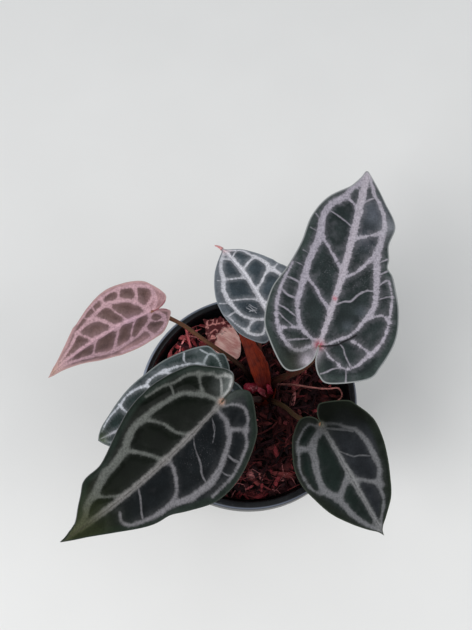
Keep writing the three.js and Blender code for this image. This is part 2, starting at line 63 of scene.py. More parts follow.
LEAVES = {
    "back_right": dict(
        at=(29, 12, 128), heading=69.5, pitch=2, roll=-11,
        length=86, droop=6, sweep=-0.06, fold=14, lobe_drop=1.5, wave=(0.8, 2, 0.1),
        petiole=dict(route=[(11.5, 8, 79), (12.5, 8.3, 86), (22.6, 9, 101), (28, 10.5, 115)], radius=1.6),
        midrib=[2.2, 2.6, 3.0, 3.3, 3.7, 4.0, 3.6],
        right=dict(
            lobe=14, lobe_at=9.5, sinus=0.6,
            widths=[23, 26.5, 29, 26.5, 21, 16, 17, 10.5, 5], tip=1.3, dents=[(0.64, 1.6, 0.02)],
        ),
        left=dict(
            lobe=15, lobe_at=11, sinus=0.4,
            widths=[20.5, 26, 27.5, 24, 21.5, 20.5, 15.5, 6.7, 2.6], tip=0.9,
        ),
    ),
    "front_left": dict(
        at=(-11, -14, 136), heading=226, pitch=-21, roll=-14,
        length=93.5, droop=6, sweep=0.17, fold=8, lobe_drop=2, wave=(0.8, 2, 0.3),
        petiole=dict(route=[(5, 1, 79), (4.5, -2.5, 95), (2.5, -7, 112), (-3, -11, 127)], radius=1.5),
        midrib=[1.4, 2.2, 2.8, 3.0, 3.0, 3.2, 3.0, 1.6],
        right=dict(
            lobe=11, lobe_at=5, fuller=1.8, sinus=0.4,
            widths=[15.5, 21.5, 27, 27, 23, 17.5, 16.5, 4.8, 1.2], dents=[(0.8, 1.4, 0.047)],
        ),
        left=dict(
            lobe=10.5, lobe_at=8, sinus=0.4,
            widths=[17, 22.5, 28, 28, 22, 17.5, 11, 5.5, 2.4], dents=[(0.62, 1, 0.033)],
        ),
    ),
    "under_left": dict(
        at=(-10.5, 0, 114), heading=200, pitch=-18, roll=11,
        length=67, droop=15, sweep=0, fold=15, lobe_drop=3, wave=(0.6, 2, 0),
        petiole=dict(route=[(1.5, 3, 79), (-1.5, 1.2, 88), (-5.5, 1.2, 100), (-8.5, 0.8, 109)], radius=1.3),
        midrib=[1.6, 2.2, 2.2, 1.8, 1.2],
        right=dict(
            lobe=5.5, lobe_at=10.5, sinus=0.8,
            widths=[12.5, 17, 19, 19, 17, 14.5, 11, 7.3, 4.3],
        ),
        left=dict(
            lobe=6.5, lobe_at=9, sinus=0.6,
            widths=[15.5, 19, 18.5, 17.5, 16, 13.5, 10.5, 7.2, 3.8],
        ),
    ),
    "young_pink": dict(
        at=(-43, 32, 114), heading=200, pitch=-9, roll=-17,
        length=55, droop=18, sweep=-0.11, fold=21, lobe_drop=3, wave=(0.6, 2, 0.6),
        petiole=dict(route=[(3, 9.5, 79), (-3, 14, 90), (-18.7, 23.3, 98), (-30.4, 29, 107),
                            (-38.5, 31.5, 111.5)], radius=1.15),
        midrib=[1.7, 2.1, 2.5, 2.2, 1.8],
        right=dict(
            lobe=8.5, lobe_at=5.5, sinus=0.3,
            widths=[11.5, 14.5, 17, 18, 16, 11.5, 6.5, 3.1, 1.4],
        ),
        left=dict(
            lobe=8.5, lobe_at=4.5, fuller=2.2, sinus=0.3,
            widths=[15.5, 17.5, 19, 18.5, 16, 11, 6, 2.6, 1.5],
        ),
    ),
    "back": dict(
        at=(9.5, 29, 112), heading=109, pitch=-14, roll=3,
        length=53, droop=16, sweep=-0.14, fold=15, lobe_drop=3, wave=(0.6, 2, 0.2),
        petiole=dict(route=[(7, 10.5, 79), (5, 17, 90.5), (5.5, 24, 101), (8.5, 27.5, 108)], radius=1.3),
        midrib=[1.6, 2.2, 2.4, 2.6, 2.5, 2.2],
        right=dict(
            lobe=11, lobe_at=9, sinus=0.6,
            widths=[15.5, 20.5, 20, 19, 16.5, 13.5, 10.5, 7, 1.2],
        ),
        left=dict(
            lobe=10.5, lobe_at=7.5, sinus=0.6,
            widths=[14, 16.5, 18.5, 18.5, 16.5, 13, 8.5, 4, 1],
        ),
    ),
    "front_right": dict(
        at=(31, -16.5, 106), heading=300.5, pitch=-15, roll=0,
        length=57, droop=15, sweep=-0.03, fold=15, lobe_drop=3, wave=(0.7, 2, 0.5),
        petiole=dict(route=[(9.5, 1.5, 79), (16.5, -5.5, 92), (21.5, -12, 100), (28, -15.5, 104)],
                     radius=1.2),
        midrib=[1.5, 2.2, 2.6, 2.6, 2.4, 2.2, 1.8],
        right=dict(
            lobe=6.5, lobe_at=7.5, sinus=0.6,
            widths=[12.5, 15.5, 20, 21, 19, 16, 11, 5.8, 1.8],
        ),
        left=dict(
            lobe=8, lobe_at=5, sinus=0.3,
            widths=[14, 17, 20.5, 20, 17.5, 14, 10.5, 5.3, 1.2],
        ),
    ),
}

# The pale lines on each half of a blade: the veins with their frosted bands, and the fine
# veinlets. Each is (full widths in mm, points), and a point is (place along the half outline,
# way from the midrib to the edge), both in percent. The plain pattern is for a half that the
# photograph hides.

PLAIN_VEINS = [
    ([1.4, 1.8, 1.8, 1.4], [(40, 0), (40, 25), (43, 44), (48, 60), (55, 72), (65, 75), (80, 76), (92, 70),
     (98, 50)]),
    ([1, 1.3, 1], [(30, 3), (17, 20), (17, 45), (21, 64), (27, 76), (36, 83), (46, 87), (58, 92)]),
    ([1.2], [(53, 0), (54, 40), (54, 72)]),
    ([1.2], [(65, 0), (66, 40), (66, 76)]),
    ([1], [(77, 0), (78, 40), (78, 76)]),
    ([1], [(42, 40), (36, 60), (33, 82)]),
]

VEINS = {
    ("back_right", "right"): [
        ([1.5, 2.2, 2.8, 3.4, 2.8, 1.7, 1.1], [(99, 60), (94, 66), (91, 63), (89, 72), (86, 77), (82, 76),
         (79, 73), (76, 74), (72, 77), (69, 73), (65, 75), (62, 71), (58, 68), (55, 66), (52, 64),
         (50, 60), (48, 53), (45, 45), (43, 37), (42, 27), (41, 17), (40, 8)]),
        ([1.5, 1.8], [(61.5, 0), (63, 19), (64, 34), (66, 48), (69, 71)]),
        ([1.6, 1.6], [(75, 0), (76, 28), (76.5, 49), (77, 72)]),
        ([1, 1.3, 1.7, 1.7, 1.3, 0.9], [(60, 92), (57, 92), (54, 92), (51, 89), (47, 87), (44, 85),
         (41, 83), (38, 80), (35, 76), (32, 72), (28, 68), (24, 67), (22, 60), (22, 48), (21, 32),
         (23, 16), (29, 3)]),
        ([1.3, 1.2], [(48, 58), (49, 76), (47, 86)]),
        ([1.2, 1.3], [(41, 42), (38, 59), (35, 74)]),
    ],
    ("back_right", "left"): [
        ([2, 3.2, 3.5, 2.8, 1.6], [(99, 60), (93, 72), (90, 84), (86, 73), (82, 76), (79, 81), (73, 79),
         (68, 69), (62, 72), (56, 71), (51, 65), (45, 57), (41, 44), (39, 36), (38, 26), (40, 14),
         (41, 3)]),
        ([1.5, 1.7], [(51, 0), (52, 27), (53, 43), (53, 68)]),
        ([1.6, 1.8], [(64.5, 0), (66, 30), (67, 47), (68, 70)]),
        ([1.3], [(86, 0), (86, 32), (86, 72)]),
        ([1.1, 1.9, 2.2, 1.7], [(54, 96), (49, 94), (44, 89), (38, 83), (33, 77), (28, 71), (22, 60),
         (20, 40), (24, 12)]),
        ([1.1], [(31, 73), (34, 53), (39, 38)]),
    ],
    ("front_left", "right"): [
        ([1.6, 2.2, 2.6, 3.2, 3.8, 4.1, 3.1, 1.8], [(39, 3), (35, 7), (33, 22), (35, 34), (37, 48),
         (39, 56), (43, 64), (47, 71), (52, 77), (54, 79), (57, 77), (62, 73), (67, 75), (70, 76),
         (72, 72), (75, 65), (78, 61), (82, 65), (85, 63), (88, 50), (94, 40)]),
        ([1.4], [(52, 0), (52, 20), (51, 34), (50, 47), (50, 72)]),
        ([1.8], [(62, 0), (61, 23), (61, 57), (62, 72)]),
        ([0.9, 1.3], [(76, 0), (78, 21), (79, 34), (80, 60)]),
        ([2.4, 2.2, 1.7, 1.5, 1.4, 1.1], [(30, 2), (10, 20), (5.5, 60), (6, 86), (9, 88), (12, 80),
         (15, 72), (17, 77), (21, 75), (27, 81), (33, 80), (37, 86), (42, 92)]),
        ([1.3], [(23, 76), (26, 55), (34, 30)]),
    ],
    ("front_left", "left"): [
        ([1.6, 2.3, 2.8, 3.4, 3, 2.5, 1.8, 1.4], [(42, 2), (41, 12), (37, 25), (37, 38), (38, 49),
         (41, 57), (44, 68), (48, 76), (52, 79), (55, 83), (61, 83), (66, 85), (73, 87), (76, 84),
         (78, 69), (78.5, 40)]),
        ([1.8], [(61, 0), (59, 28), (59, 63), (61, 83)]),
        ([1, 1.3, 1.5, 1.6, 1.4, 1], [(40, 2), (25, 12), (17, 29), (16, 54), (17, 69), (20, 74), (23, 73),
         (27, 76), (29, 84), (33, 86), (38, 88), (42, 89), (48, 92)]),
        ([1.5], [(37, 38), (29, 56), (25, 75)]),
    ],
    ("under_left", "right"): [
        ([0.9, 1.2, 1.3, 1.4, 1.2, 1.1, 1], [(39, 3), (35.5, 25), (33.5, 54), (38, 65), (41, 70),
         (45, 75), (50, 81), (54, 84), (57.5, 84), (61, 78), (64, 84), (68, 88), (73, 90), (77.5, 86),
         (82, 88), (88, 90), (95, 75)]),
        ([1, 1.2, 1.2], [(33.5, 54), (29, 66), (24.5, 77), (20, 79), (17.5, 60), (18, 30), (27, 4)]),
        ([1.2], [(50, 0), (49, 40), (50, 81)]),
        ([1.1], [(60, 0), (61, 40), (61, 78)]),
        ([1.1], [(78, 0), (78.5, 50), (77.5, 86)]),
    ],
    ("under_left", "left"): PLAIN_VEINS,
    ("young_pink", "right"): [
        ([1.5, 1.9, 2.1, 1.8, 1.5], [(38, 2), (41, 23), (42, 42), (45, 53), (49, 61), (53, 67), (57, 69),
         (61, 69), (65, 66), (69, 70), (73, 75), (77, 70), (81, 64), (86, 60), (93, 40)]),
        ([0.9], [(52, 0), (52, 21), (53, 40), (53, 68)]),
        ([2], [(58.5, 0), (60, 31), (62, 51), (65, 68)]),
        ([1], [(71, 0), (72, 34), (74, 74)]),
        ([1.6, 1.9, 2, 1.7, 1.5, 1.5, 1.1], [(15, 20), (16, 50), (20, 66), (23, 86), (28, 84), (37, 87),
         (42, 89), (47, 89), (52, 91), (58, 93), (63, 94), (70, 96)]),
        ([1.4], [(34, 80), (36, 60), (42, 38)]),
        ([1.4], [(43, 87), (45, 74), (48, 58)]),
        ([1.7], [(20, 60), (24, 35), (38, 15)]),
        ([1.1], [(53, 90), (54, 67)]),
    ],
    ("young_pink", "left"): [
        ([1.4, 2, 2.4, 2.2, 1.8, 1.8], [(39, 2), (38, 30), (41, 48), (43, 62), (46, 67), (50, 74),
         (54, 80), (60, 80), (65, 76), (72, 74), (79, 66), (86, 50), (93, 40)]),
        ([1], [(48, 0), (48, 30), (47, 66)]),
        ([1.9], [(57, 0), (56, 36), (55, 80)]),
        ([1.3], [(70, 0), (69, 37), (68, 75)]),
        ([2, 2.1, 1.8], [(13, 15), (15, 45), (18, 70), (23, 89), (30, 90), (36, 92), (41, 94), (50, 94)]),
        ([1.3], [(41, 48), (36, 66), (33, 90)]),
        ([1.2], [(38, 25), (28, 45), (20, 74)]),
    ],
    ("back", "right"): [
        ([1.1, 1.5, 2, 2.1, 2, 1.7, 1.6], [(98, 50), (93, 71), (91, 80), (88, 88), (85, 87), (82, 81),
         (78, 79), (75, 81), (71, 80), (68, 75), (66, 70), (64, 73), (59, 75), (54, 73), (48, 62),
         (43, 45), (40, 20), (40, 2)]),
        ([1.5], [(76, 0), (78, 45), (78, 78)]),
        ([1.7], [(60, 0), (62, 26), (64, 43), (66, 68)]),
        ([1], [(64, 75), (65, 95)]),
        ([1.1], [(50, 0), (49, 64)]),
    ],
    ("back", "left"): [
        ([1.4, 1.6, 2, 2.4, 2.3, 1.8, 1.5], [(98, 50), (93, 66), (89, 76), (83, 82), (78, 80), (73, 75),
         (68, 74), (62, 77), (56, 75), (52, 72), (48, 67), (45, 64), (42, 57), (41, 49), (40, 34),
         (40, 10)]),
        ([1.4], [(70, 0), (70, 22), (69, 56), (69, 72)]),
        ([1.1], [(53, 0), (54, 26), (53, 72)]),
        ([1], [(87, 0), (87, 35), (88, 74)]),
        ([0.7, 1, 1.5, 1.6, 1.4], [(43, 98), (41, 91), (37, 88), (33, 84), (29, 78), (26, 79), (22, 75),
         (19, 62), (19, 42), (22, 10)]),
        ([1.3], [(28, 78), (32, 59), (38, 40)]),
    ],
    ("front_right", "right"): [
        ([2.8, 3.6, 3.5, 2.9, 2.8, 2.8, 2.2, 1.8], [(41, 3), (41, 20), (41, 35), (43, 44), (46, 50),
         (49, 57), (53, 65), (57, 71), (62, 68), (67, 61), (72, 63), (77, 69), (82, 71), (88, 71),
         (93, 67), (97, 61)]),
        ([2.8], [(65.5, 0), (66, 19), (67, 50), (66, 62)]),
        ([0.9, 1.1, 1.2, 1.2, 1], [(30, 5), (20, 20), (16, 46), (20, 63), (25, 73), (28, 80), (32, 79),
         (37, 81), (41, 87), (46, 89), (52, 89), (57, 84), (61, 70)]),
        ([2.2], [(32, 78), (36, 62), (42, 40)]),
    ],
    ("front_right", "left"): [
        ([1.2, 1.2, 2, 2.5, 2.8, 2.4, 2.1], [(40, 2), (40, 19), (41, 32), (43, 43), (44, 54), (47, 62),
         (51, 67), (56, 71), (60, 74), (64, 77), (68, 72), (72, 68)]),
        ([1.6, 1.5, 1.2], [(72, 68), (75, 67), (78, 72), (83, 73), (88, 66), (94, 50)]),
        ([1.9], [(68, 0), (69, 17), (70, 38), (72, 70)]),
    ],
}

VEINLETS = {
    ("back_right", "right"): [
        ([0.8], [(53, 2), (54, 16), (54, 27), (56, 37), (57, 49), (57, 63)]),
        ([0.9], [(88, 8), (89, 31), (90, 65)]),
        ([0.7], [(58, 68), (60, 85), (60, 92)]),
        ([0.8], [(62, 73), (63, 95)]),
        ([0.8], [(66, 75), (67, 95)]),
        ([0.5], [(54, 68), (55, 91)]),
        ([0.5], [(41, 24), (35, 35), (30, 43), (26, 62)]),
        ([0.6], [(23, 67), (19, 97)]),
        ([0.6], [(11, 85), (14, 70), (17, 63), (22, 60)]),
    ],
    ("back_right", "left"): [
        ([0.7], [(79, 2), (78, 39), (77, 69), (77, 81)]),
        ([0.9], [(48, 95), (49, 82), (50, 68)]),
        ([0.9], [(44, 88), (44, 74), (46, 56)]),
        ([0.7], [(39, 83), (40, 73), (41, 50)]),
        ([0.5], [(37, 80), (36, 66), (36, 40)]),
        ([0.7], [(26, 70), (27, 50), (34, 20)]),
        ([0.4], [(54, 95), (55, 75)]),
        ([0.5], [(59, 90), (60, 73)]),
        ([0.5], [(67, 92), (68, 73)]),
        ([0.6], [(72, 95), (72, 76)]),
    ],
    ("front_left", "right"): [
        ([1], [(35, 81), (37, 70), (41, 58)]),
        ([1], [(14, 70), (13, 46), (19, 7)]),
    ],
    ("front_left", "left"): [
        ([0.3, 0.4, 0.9, 0.6], [(51, 0), (51, 21), (50, 44), (50, 60), (49, 74)]),
        ([0.8], [(72, 0), (71, 32), (71, 86)]),
        ([0.9], [(41, 59), (38, 74), (35, 87)]),
        ([0.6], [(44, 70), (42, 81), (40, 88)]),
        ([0.3], [(44, 6), (44, 26), (45, 34)]),
    ],
    ("under_left", "right"): [
        ([0.8], [(41, 70), (39, 82), (35.5, 95)]),
        ([0.7], [(24.5, 77), (26, 82), (27.5, 92)]),
    ],
    ("young_pink", "right"): [
        ([0.9], [(59, 93), (60, 69)]),
        ([0.7], [(66, 93), (65, 66)]),
    ],
    ("back", "right"): [
        ([0.9], [(88, 8), (89, 40), (90, 75)]),
    ],
    ("back", "left"): [
        ([0.9], [(42, 91), (44, 76), (46, 64)]),
        ([0.7], [(51, 95), (51, 80), (53, 72)]),
        ([0.7], [(68, 90), (68, 74)]),
    ],
    ("front_right", "left"): [
        ([1], [(42, 3), (43, 20), (44, 38), (45, 50)]),
        ([0.5], [(53, 0), (57, 26), (57, 42), (58, 70)]),
    ],
}

# The colours of each blade as they are seen, in 0 to 255, with light and shade painted in: the
# front_left and front_right blades are painted darker as shaded copies. They are the dark cells and
# the pale veins of the right and left half, the plain margin and its width in mm, its edge line,
# which on most blades is a painted highlight along the rim, and the underside. `core` tints the
# veins near the midrib, `line` paints shade into the thin groove along it, and haze, soft, ragged
# and gloss say how misty, blurred, frayed and shiny the pattern is; haze also sets the painted
# sheen on the cells. Places are in percent. A wash is (side, place, radius in mm, colour of the
# cells, colour of the veins, strength), and some washes are painted sheen, highlight or shade. A
# patch of painted glints, where the cells sparkle, is (side, place, radius in mm), and the line of a
# mark is (side, width in mm, places); some marks are painted shadow or highlight lines.

TONES = {
    "back_right": dict(
        cell=[(38, 44, 44), (36, 43, 43)], vein=[(160, 154, 163), (158, 152, 162)],
        margin=(48, 56, 54), margin_width=4.5, edge=(150, 152, 152), under=(98, 88, 76),
        core=(176, 168, 176),
        washes=[
            # Painted sheen: lighter bluish-grey patches where light falls on the right half's cells.
            (1, (84, 50), 7, (82, 85, 93), (170, 166, 174), 0.8),
            (1, (79, 86), 4, (130, 132, 138), (178, 174, 182), 0.6),
            (1, (75, 35), 6, (66, 70, 78), (164, 160, 168), 0.6),
            # Painted shade on the left lobe's curled-down end.
            (-1, (15, 66), 8, (32, 34, 25), (86, 86, 82), 0.85),
            # Painted highlight: a pale lilac patch on the curled edge of the left lobe by the sinus.
            (-1, (10, 66), 3.4, (156, 148, 156), (184, 178, 186), 0.85),
            (-1, (4, 60), 2.6, (150, 142, 150), (190, 184, 190), 0.8),
            # Painted sheen: a soft streak on the right half's cells.
            (1, (46, 30), 2.4, (72, 77, 82), (164, 160, 168), 0.7),
            (1, (50, 46), 2.6, (66, 71, 76), (164, 160, 168), 0.7),
            (1, (55.3, 0), 0.9, (150, 70, 84), (186, 84, 98), 0.9),
            (1, (40, 0), 2.0, (116, 34, 50), (150, 36, 56), 0.95),
        ],
        flecks=[(1, (71.6, 45), 8), (1, (62, 35), 7), (-1, (60, 30), 6)],
        mark=dict(colour=(20, 18, 20), lines=[
            (1, 0.45, [(21, 2), (38, 13), (40, 24), (41, 31), (42, 39), (43, 45)]),
        ]),
    ),
    "front_left": dict(
        # Painted shade: this blade lies in shade, so its cells, veins and margin are painted darker.
        cell=[(8, 12, 7), (17, 20, 22)], vein=[(91, 93, 89), (112, 110, 113)],
        margin=(26, 34, 29), margin_width=4, edge=(44, 51, 45), under=(92, 84, 68),
        core=(120, 117, 115), line=(60, 55, 51), haze=0.4, soft=0.25, ragged=0.75, gloss=0.05,
        washes=[
            (1, (96, 40), 18, (38, 44, 18), (62, 66, 38), 0.9),
            (-1, (90, 50), 9, (34, 38, 22), (64, 66, 46), 0.8),
            (1, (40, 0), 1.3, (136, 86, 50), (156, 100, 62), 0.9),
            (1, (7, 80), 5.5, (84, 88, 86), (176, 176, 174), 0.9),
        ],
        flecks=[(-1, (50, 35), 8)],
        mark=dict(colour=(104, 104, 106), lines=[
            (-1, 0.05, [(44, 10), (43.5, 20), (44.5, 28)]),
            # Painted highlight: a thin pale line along the right half's edge.
            (1, 0.3, [(4 + 2.5 * k, 100) for k in range(36)]),
        ]),
    ),
    "under_left": dict(
        cell=[(26, 38, 37), (36, 46, 47)], vein=[(182, 185, 192), (140, 144, 150)],
        margin=(46, 55, 57), margin_width=3, edge=(120, 126, 126), under=(96, 88, 76),
        core=(160, 160, 166), ragged=0.75,
        washes=[
            (1, (20, 50), 9, (32, 50, 44), (120, 136, 130), 0.6),
            (1, (99, 50), 5, (30, 40, 26), (74, 84, 66), 0.9),
            (-1, (99, 50), 5, (30, 40, 26), (74, 84, 66), 0.9),
        ],
    ),
    "young_pink": dict(
        cell=[(86, 66, 62), (88, 68, 65)], vein=[(180, 146, 152), (180, 146, 154)],
        margin=(152, 120, 122), margin_width=2.0, edge=(180, 146, 143), under=(150, 108, 96),
        core=(188, 153, 162), ragged=0.75,
        washes=[
            (1, (99, 20), 8, (140, 112, 92), (172, 140, 122), 0.85),
            (1, (50, 3), 4, (110, 86, 90), (200, 164, 182), 0.5),
            (1, (12, 50), 4, (136, 96, 98), (184, 144, 150), 0.7),
            (1, (12, 90), 4, (160, 126, 128), (184, 150, 156), 0.9),
            (-1, (38, 88), 4, (142, 110, 112), (180, 146, 153), 0.8),
            (-1, (48, 90), 4.5, (146, 114, 116), (180, 146, 153), 0.85),
            (-1, (60, 92), 4.5, (142, 110, 112), (180, 146, 153), 0.8),
        ],
        mark=dict(colour=(124, 48, 66), lines=[
            (1, 0.3, [(0.5, 100), (5, 100), (10, 100)]), (-1, 0.3, [(0.5, 100), (5, 100), (10, 100)]),
        ]),
    ),
    "back": dict(
        cell=[(60, 69, 75), (61, 70, 76)], vein=[(214, 213, 219), (217, 216, 222)],
        margin=(92, 98, 104), margin_width=4.5, edge=(136, 142, 148), under=(104, 98, 88),
        core=(214, 212, 218), ragged=0.7,
        washes=[(1, (99.5, 20), 4.0, (190, 130, 132), (222, 168, 170), 0.95)],
        flecks=[(-1, (46, 30), 5)],
        mark=dict(colour=(196, 196, 202), lines=[
            (-1, 0.1, [(45, 30), (46, 34), (47.5, 40)]), (-1, 0.1, [(47, 18), (48, 24), (50, 30)]),
            (-1, 0.1, [(44, 24), (46, 27), (49, 33)]), (-1, 0.1, [(45, 38), (46, 29), (46, 20)]),
        ]),
    ),
    "front_right": dict(
        # Painted shade: this blade lies in shade, so its cells, veins and margin are painted darker.
        cell=[(17, 26, 23), (30, 32, 35)], vein=[(105, 105, 107), (100, 100, 102)],
        margin=(22, 27, 22), margin_width=5, edge=(54, 60, 50), under=(90, 84, 70),
        core=(118, 118, 118), line=(48, 46, 46), haze=0.5, soft=0.2, ragged=0.75, gloss=0.045,
        washes=[
            # Painted shade: the left half is near-black on its lobe and along its edge.
            (-1, (16, 62), 11, (5, 8, 3), (8, 11, 5), 0.98),
            (-1, (33, 90), 7, (8, 11, 6), (14, 18, 12), 0.9),
            (1, (40, 0), 1.2, (84, 80, 64), (112, 108, 90), 0.5),
        ],
    ),
}

GRIDS = {"back_right": (401, 81), "front_left": (401, 81)}  # rows and columns of a half blade's top
SMALL_GRID = (251, 53)
FIRST_ROW = 0.012  # where the two lobes part, as a share of the half outline
BLADE_THICKNESS, EDGE_THICKNESS = 0.6, 0.3
VEINLET_GROOVE, MIDRIB_GROOVE, MARK_GROOVE = (0.16, 0.7), (0.2, 0.5), (0.3, 0.5)  # depth and reach
UNDER_RIB = (0.45, 0.9)  # height and reach of a vein on the underside
BUMP_HEIGHT, BUMP_SIZE = 0.25, 11
BLUNT_AT = 0.988  # where a blunt tip begins, as a share of the blade's length
FAR = 9.0  # distances on the flat blade aren't measured beyond this
VEIN_BLEND = 0.75  # how far neighbouring veins round off the corners of the cells
SIDES = {1: "right", -1: "left"}


# Numbers.

def linear(colour):
    """A seen colour of 0 to 255 as linear RGBA."""
    c = np.asarray(colour, float) / 255
    c = np.where(c <= 0.04045, c / 12.92, ((c + 0.055) / 1.055) ** 2.4)
    return (*[float(x) for x in c], 1.0)


def smoothstep(low, high, x):
    """Goes smoothly from 0 to 1 as x goes from low to high."""
    s = np.clip((x - low) / (high - low), 0, 1)
    return s * s * (3 - 2 * s)


def full_turn(sides):
    """The angles of a ring with that many sides."""
    return np.linspace(0, TAU, sides, endpoint=False)


def grid_of(*parts):
    """The parts spread to one common shape, as the coordinates of points."""
    return np.stack(np.broadcast_arrays(*parts), -1)


def level_way(angle):
    """The level direction at that angle from the X axis."""
    return np.array([math.cos(angle), math.sin(angle), 0])


def unit(vectors):
    """The vectors brought to a length of 1."""
    return vectors / np.linalg.norm(vectors, axis=-1, keepdims=True)


LATTICE = np.random.default_rng(7).uniform(-1, 1, (32, 32, 32))


def wobble(points, size):
    """Smooth noise from -1 to 1 whose bumps are about `size` mm across."""
    p = np.asarray(points, float) / size
    cell = np.floor(p).astype(int)
    f = p - cell
    f = f * f * (3 - 2 * f)
    total = 0
    for corner in itertools.product((0, 1), repeat=3):
        weight = np.prod(np.where(np.array(corner) == 1, f, 1 - f), axis=-1)
        i = (cell + corner) % 32
        total = total + weight * LATTICE[i[..., 0], i[..., 1], i[..., 2]]
    return total


def smooth_line(points, steps=12, power=0.0):
    """A Catmull-Rom curve through the points: uniform at power 0, centripetal at power 0.5."""
    p = np.asarray(points, float)
    p = np.vstack([2 * p[0] - p[1], p, 2 * p[-1] - p[-2]])
    line = []
    for a, b, c, d in zip(p, p[1:], p[2:], p[3:]):
        gap = [max(np.linalg.norm(r - q) ** power, 1e-4) for q, r in ((a, b), (b, c), (c, d))]
        leave = ((b - a) / gap[0] - (c - a) / (gap[0] + gap[1]) + (c - b) / gap[1]) * gap[1]
        arrive = ((c - b) / gap[1] - (d - b) / (gap[1] + gap[2]) + (d - c) / gap[2]) * gap[1]
        s = np.linspace(0, 1, steps, endpoint=False)[:, None]
        line.append(b + leave * s + (3 * (c - b) - 2 * leave - arrive) * s**2
                    + (2 * (b - c) + leave + arrive) * s**3)
    return np.vstack([*line, p[-2]])


def reach_of(line):
    """How far along a line each of its points is."""
    return np.r_[0, np.cumsum(np.linalg.norm(np.diff(line, axis=0), axis=1))]


def even_line(points, count):
    """`count` points at even steps along the centripetal curve through the points."""
    line = smooth_line(points, 24, 0.5)
    reach = reach_of(line)
    want = np.linspace(0, reach[-1], count)
    return np.stack([np.interp(want, reach, line[:, k]) for k in range(3)], 1)


# Meshes.

ATTRIBUTE_KINDS = {1: ("FLOAT", "value"), 3: ("FLOAT_VECTOR", "vector"), 4: ("FLOAT_COLOR", "color")}


def make_piece(name, points, faces, materials, attributes=None, slots=None):
    """A mesh object from points in mm. Attributes hold a number, a place or a colour for each point."""
    mesh = bpy.data.meshes.new(name)
    mesh.from_pydata((np.asarray(points) * MM).tolist(), [], faces)
    for material in materials:
        mesh.materials.append(material)
    for key, values in (attributes or {}).items():
        values = np.asarray(values, np.float32)
        kind, field = ATTRIBUTE_KINDS[values.size // len(values)]
        mesh.attributes.new(key, kind, "POINT").data.foreach_set(field, values.ravel())
    if slots is not None:
        mesh.polygons.foreach_set("material_index", np.asarray(slots, np.int32))
    mesh.polygons.foreach_set("use_smooth", np.full(len(mesh.polygons), True))
    mesh.validate()
    mesh.update()
    piece = bpy.data.objects.new(name, mesh)
    bpy.context.scene.collection.objects.link(piece)
    return piece


def stand_for(piece, node):
    """The piece rides on the plant's one body and stands in for its solid, which is hidden."""
    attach(piece, "root")
    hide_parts(node)


class Heap:
    """Gathers many small shapes into one mesh."""

    def __init__(self):
        self.points, self.faces, self.values, self.count = [], [], {}, 0

    def add(self, points, faces, **values):
        """Each value is one for the whole shape, or an array with one for each point."""
        self.points.append(points)
        self.faces += [[i + self.count for i in face] for face in faces]
        for key, value in values.items():
            if not isinstance(value, np.ndarray):
                value = np.full((len(points), *np.shape(value)), value)
            self.values.setdefault(key, []).append(value)
        self.count += len(points)

    def piece(self, name, material):
        values = {key: np.concatenate(rows) for key, rows in self.values.items()}
        return make_piece(name, np.vstack(self.points), self.faces, [material], values)


def ring_faces(rings, sides):
    """Faces of a closed skin over rings of points, with its two end points last."""
    faces = [[i + k, i + (k + 1) % sides, i + sides + (k + 1) % sides, i + sides + k]
             for i in range(0, (rings - 1) * sides, sides) for k in range(sides)]
    last, start, end = (rings - 1) * sides, rings * sides, rings * sides + 1
    faces += [[start, (k + 1) % sides, k] for k in range(sides)]
    faces += [[end, last + k, last + (k + 1) % sides] for k in range(sides)]
    return faces


def line_frames(line):
    """Two directions across a line, carried along it without twist."""
    ahead = unit(np.gradient(line, axis=0))
    across = np.zeros_like(ahead)
    first = np.cross(ahead[0], [0.3, 0.9, 0.2])
    for i, direction in enumerate(ahead):
        first = across[i] = unit(first - direction * (first @ direction))
    return across, np.cross(ahead, across)


def tube(line, radii, sides):
    """Points and faces of a closed tube. There is one radius a point, or one a point and side."""
    across, up = line_frames(line)
    turn = full_turn(sides)[None, :, None]
    radii = np.asarray(radii, float)
    radii = np.broadcast_to(radii[:, None] if radii.ndim == 1 else radii, (len(line), sides))
    skin = line[:, None] + radii[..., None] * (np.cos(turn) * across[:, None] + np.sin(turn) * up[:, None])
    return np.vstack([skin.reshape(-1, 3), line[0], line[-1]]), ring_faces(len(line), sides)


def revolve(profile, sides):
    """Points and faces of a closed surface turned about the Z axis from a profile of (radius, z)."""
    radius, z = np.asarray(profile, float).T[..., None]
    turn = full_turn(sides)
    skin = grid_of(radius * np.cos(turn), radius * np.sin(turn), z)
    centre = [[0, 0, z[0, 0]], [0, 0, z[-1, 0]]]
    faces = [face[::-1] for face in ring_faces(len(z), sides)]
    return np.vstack([skin.reshape(-1, 3), centre]), faces


# Materials.

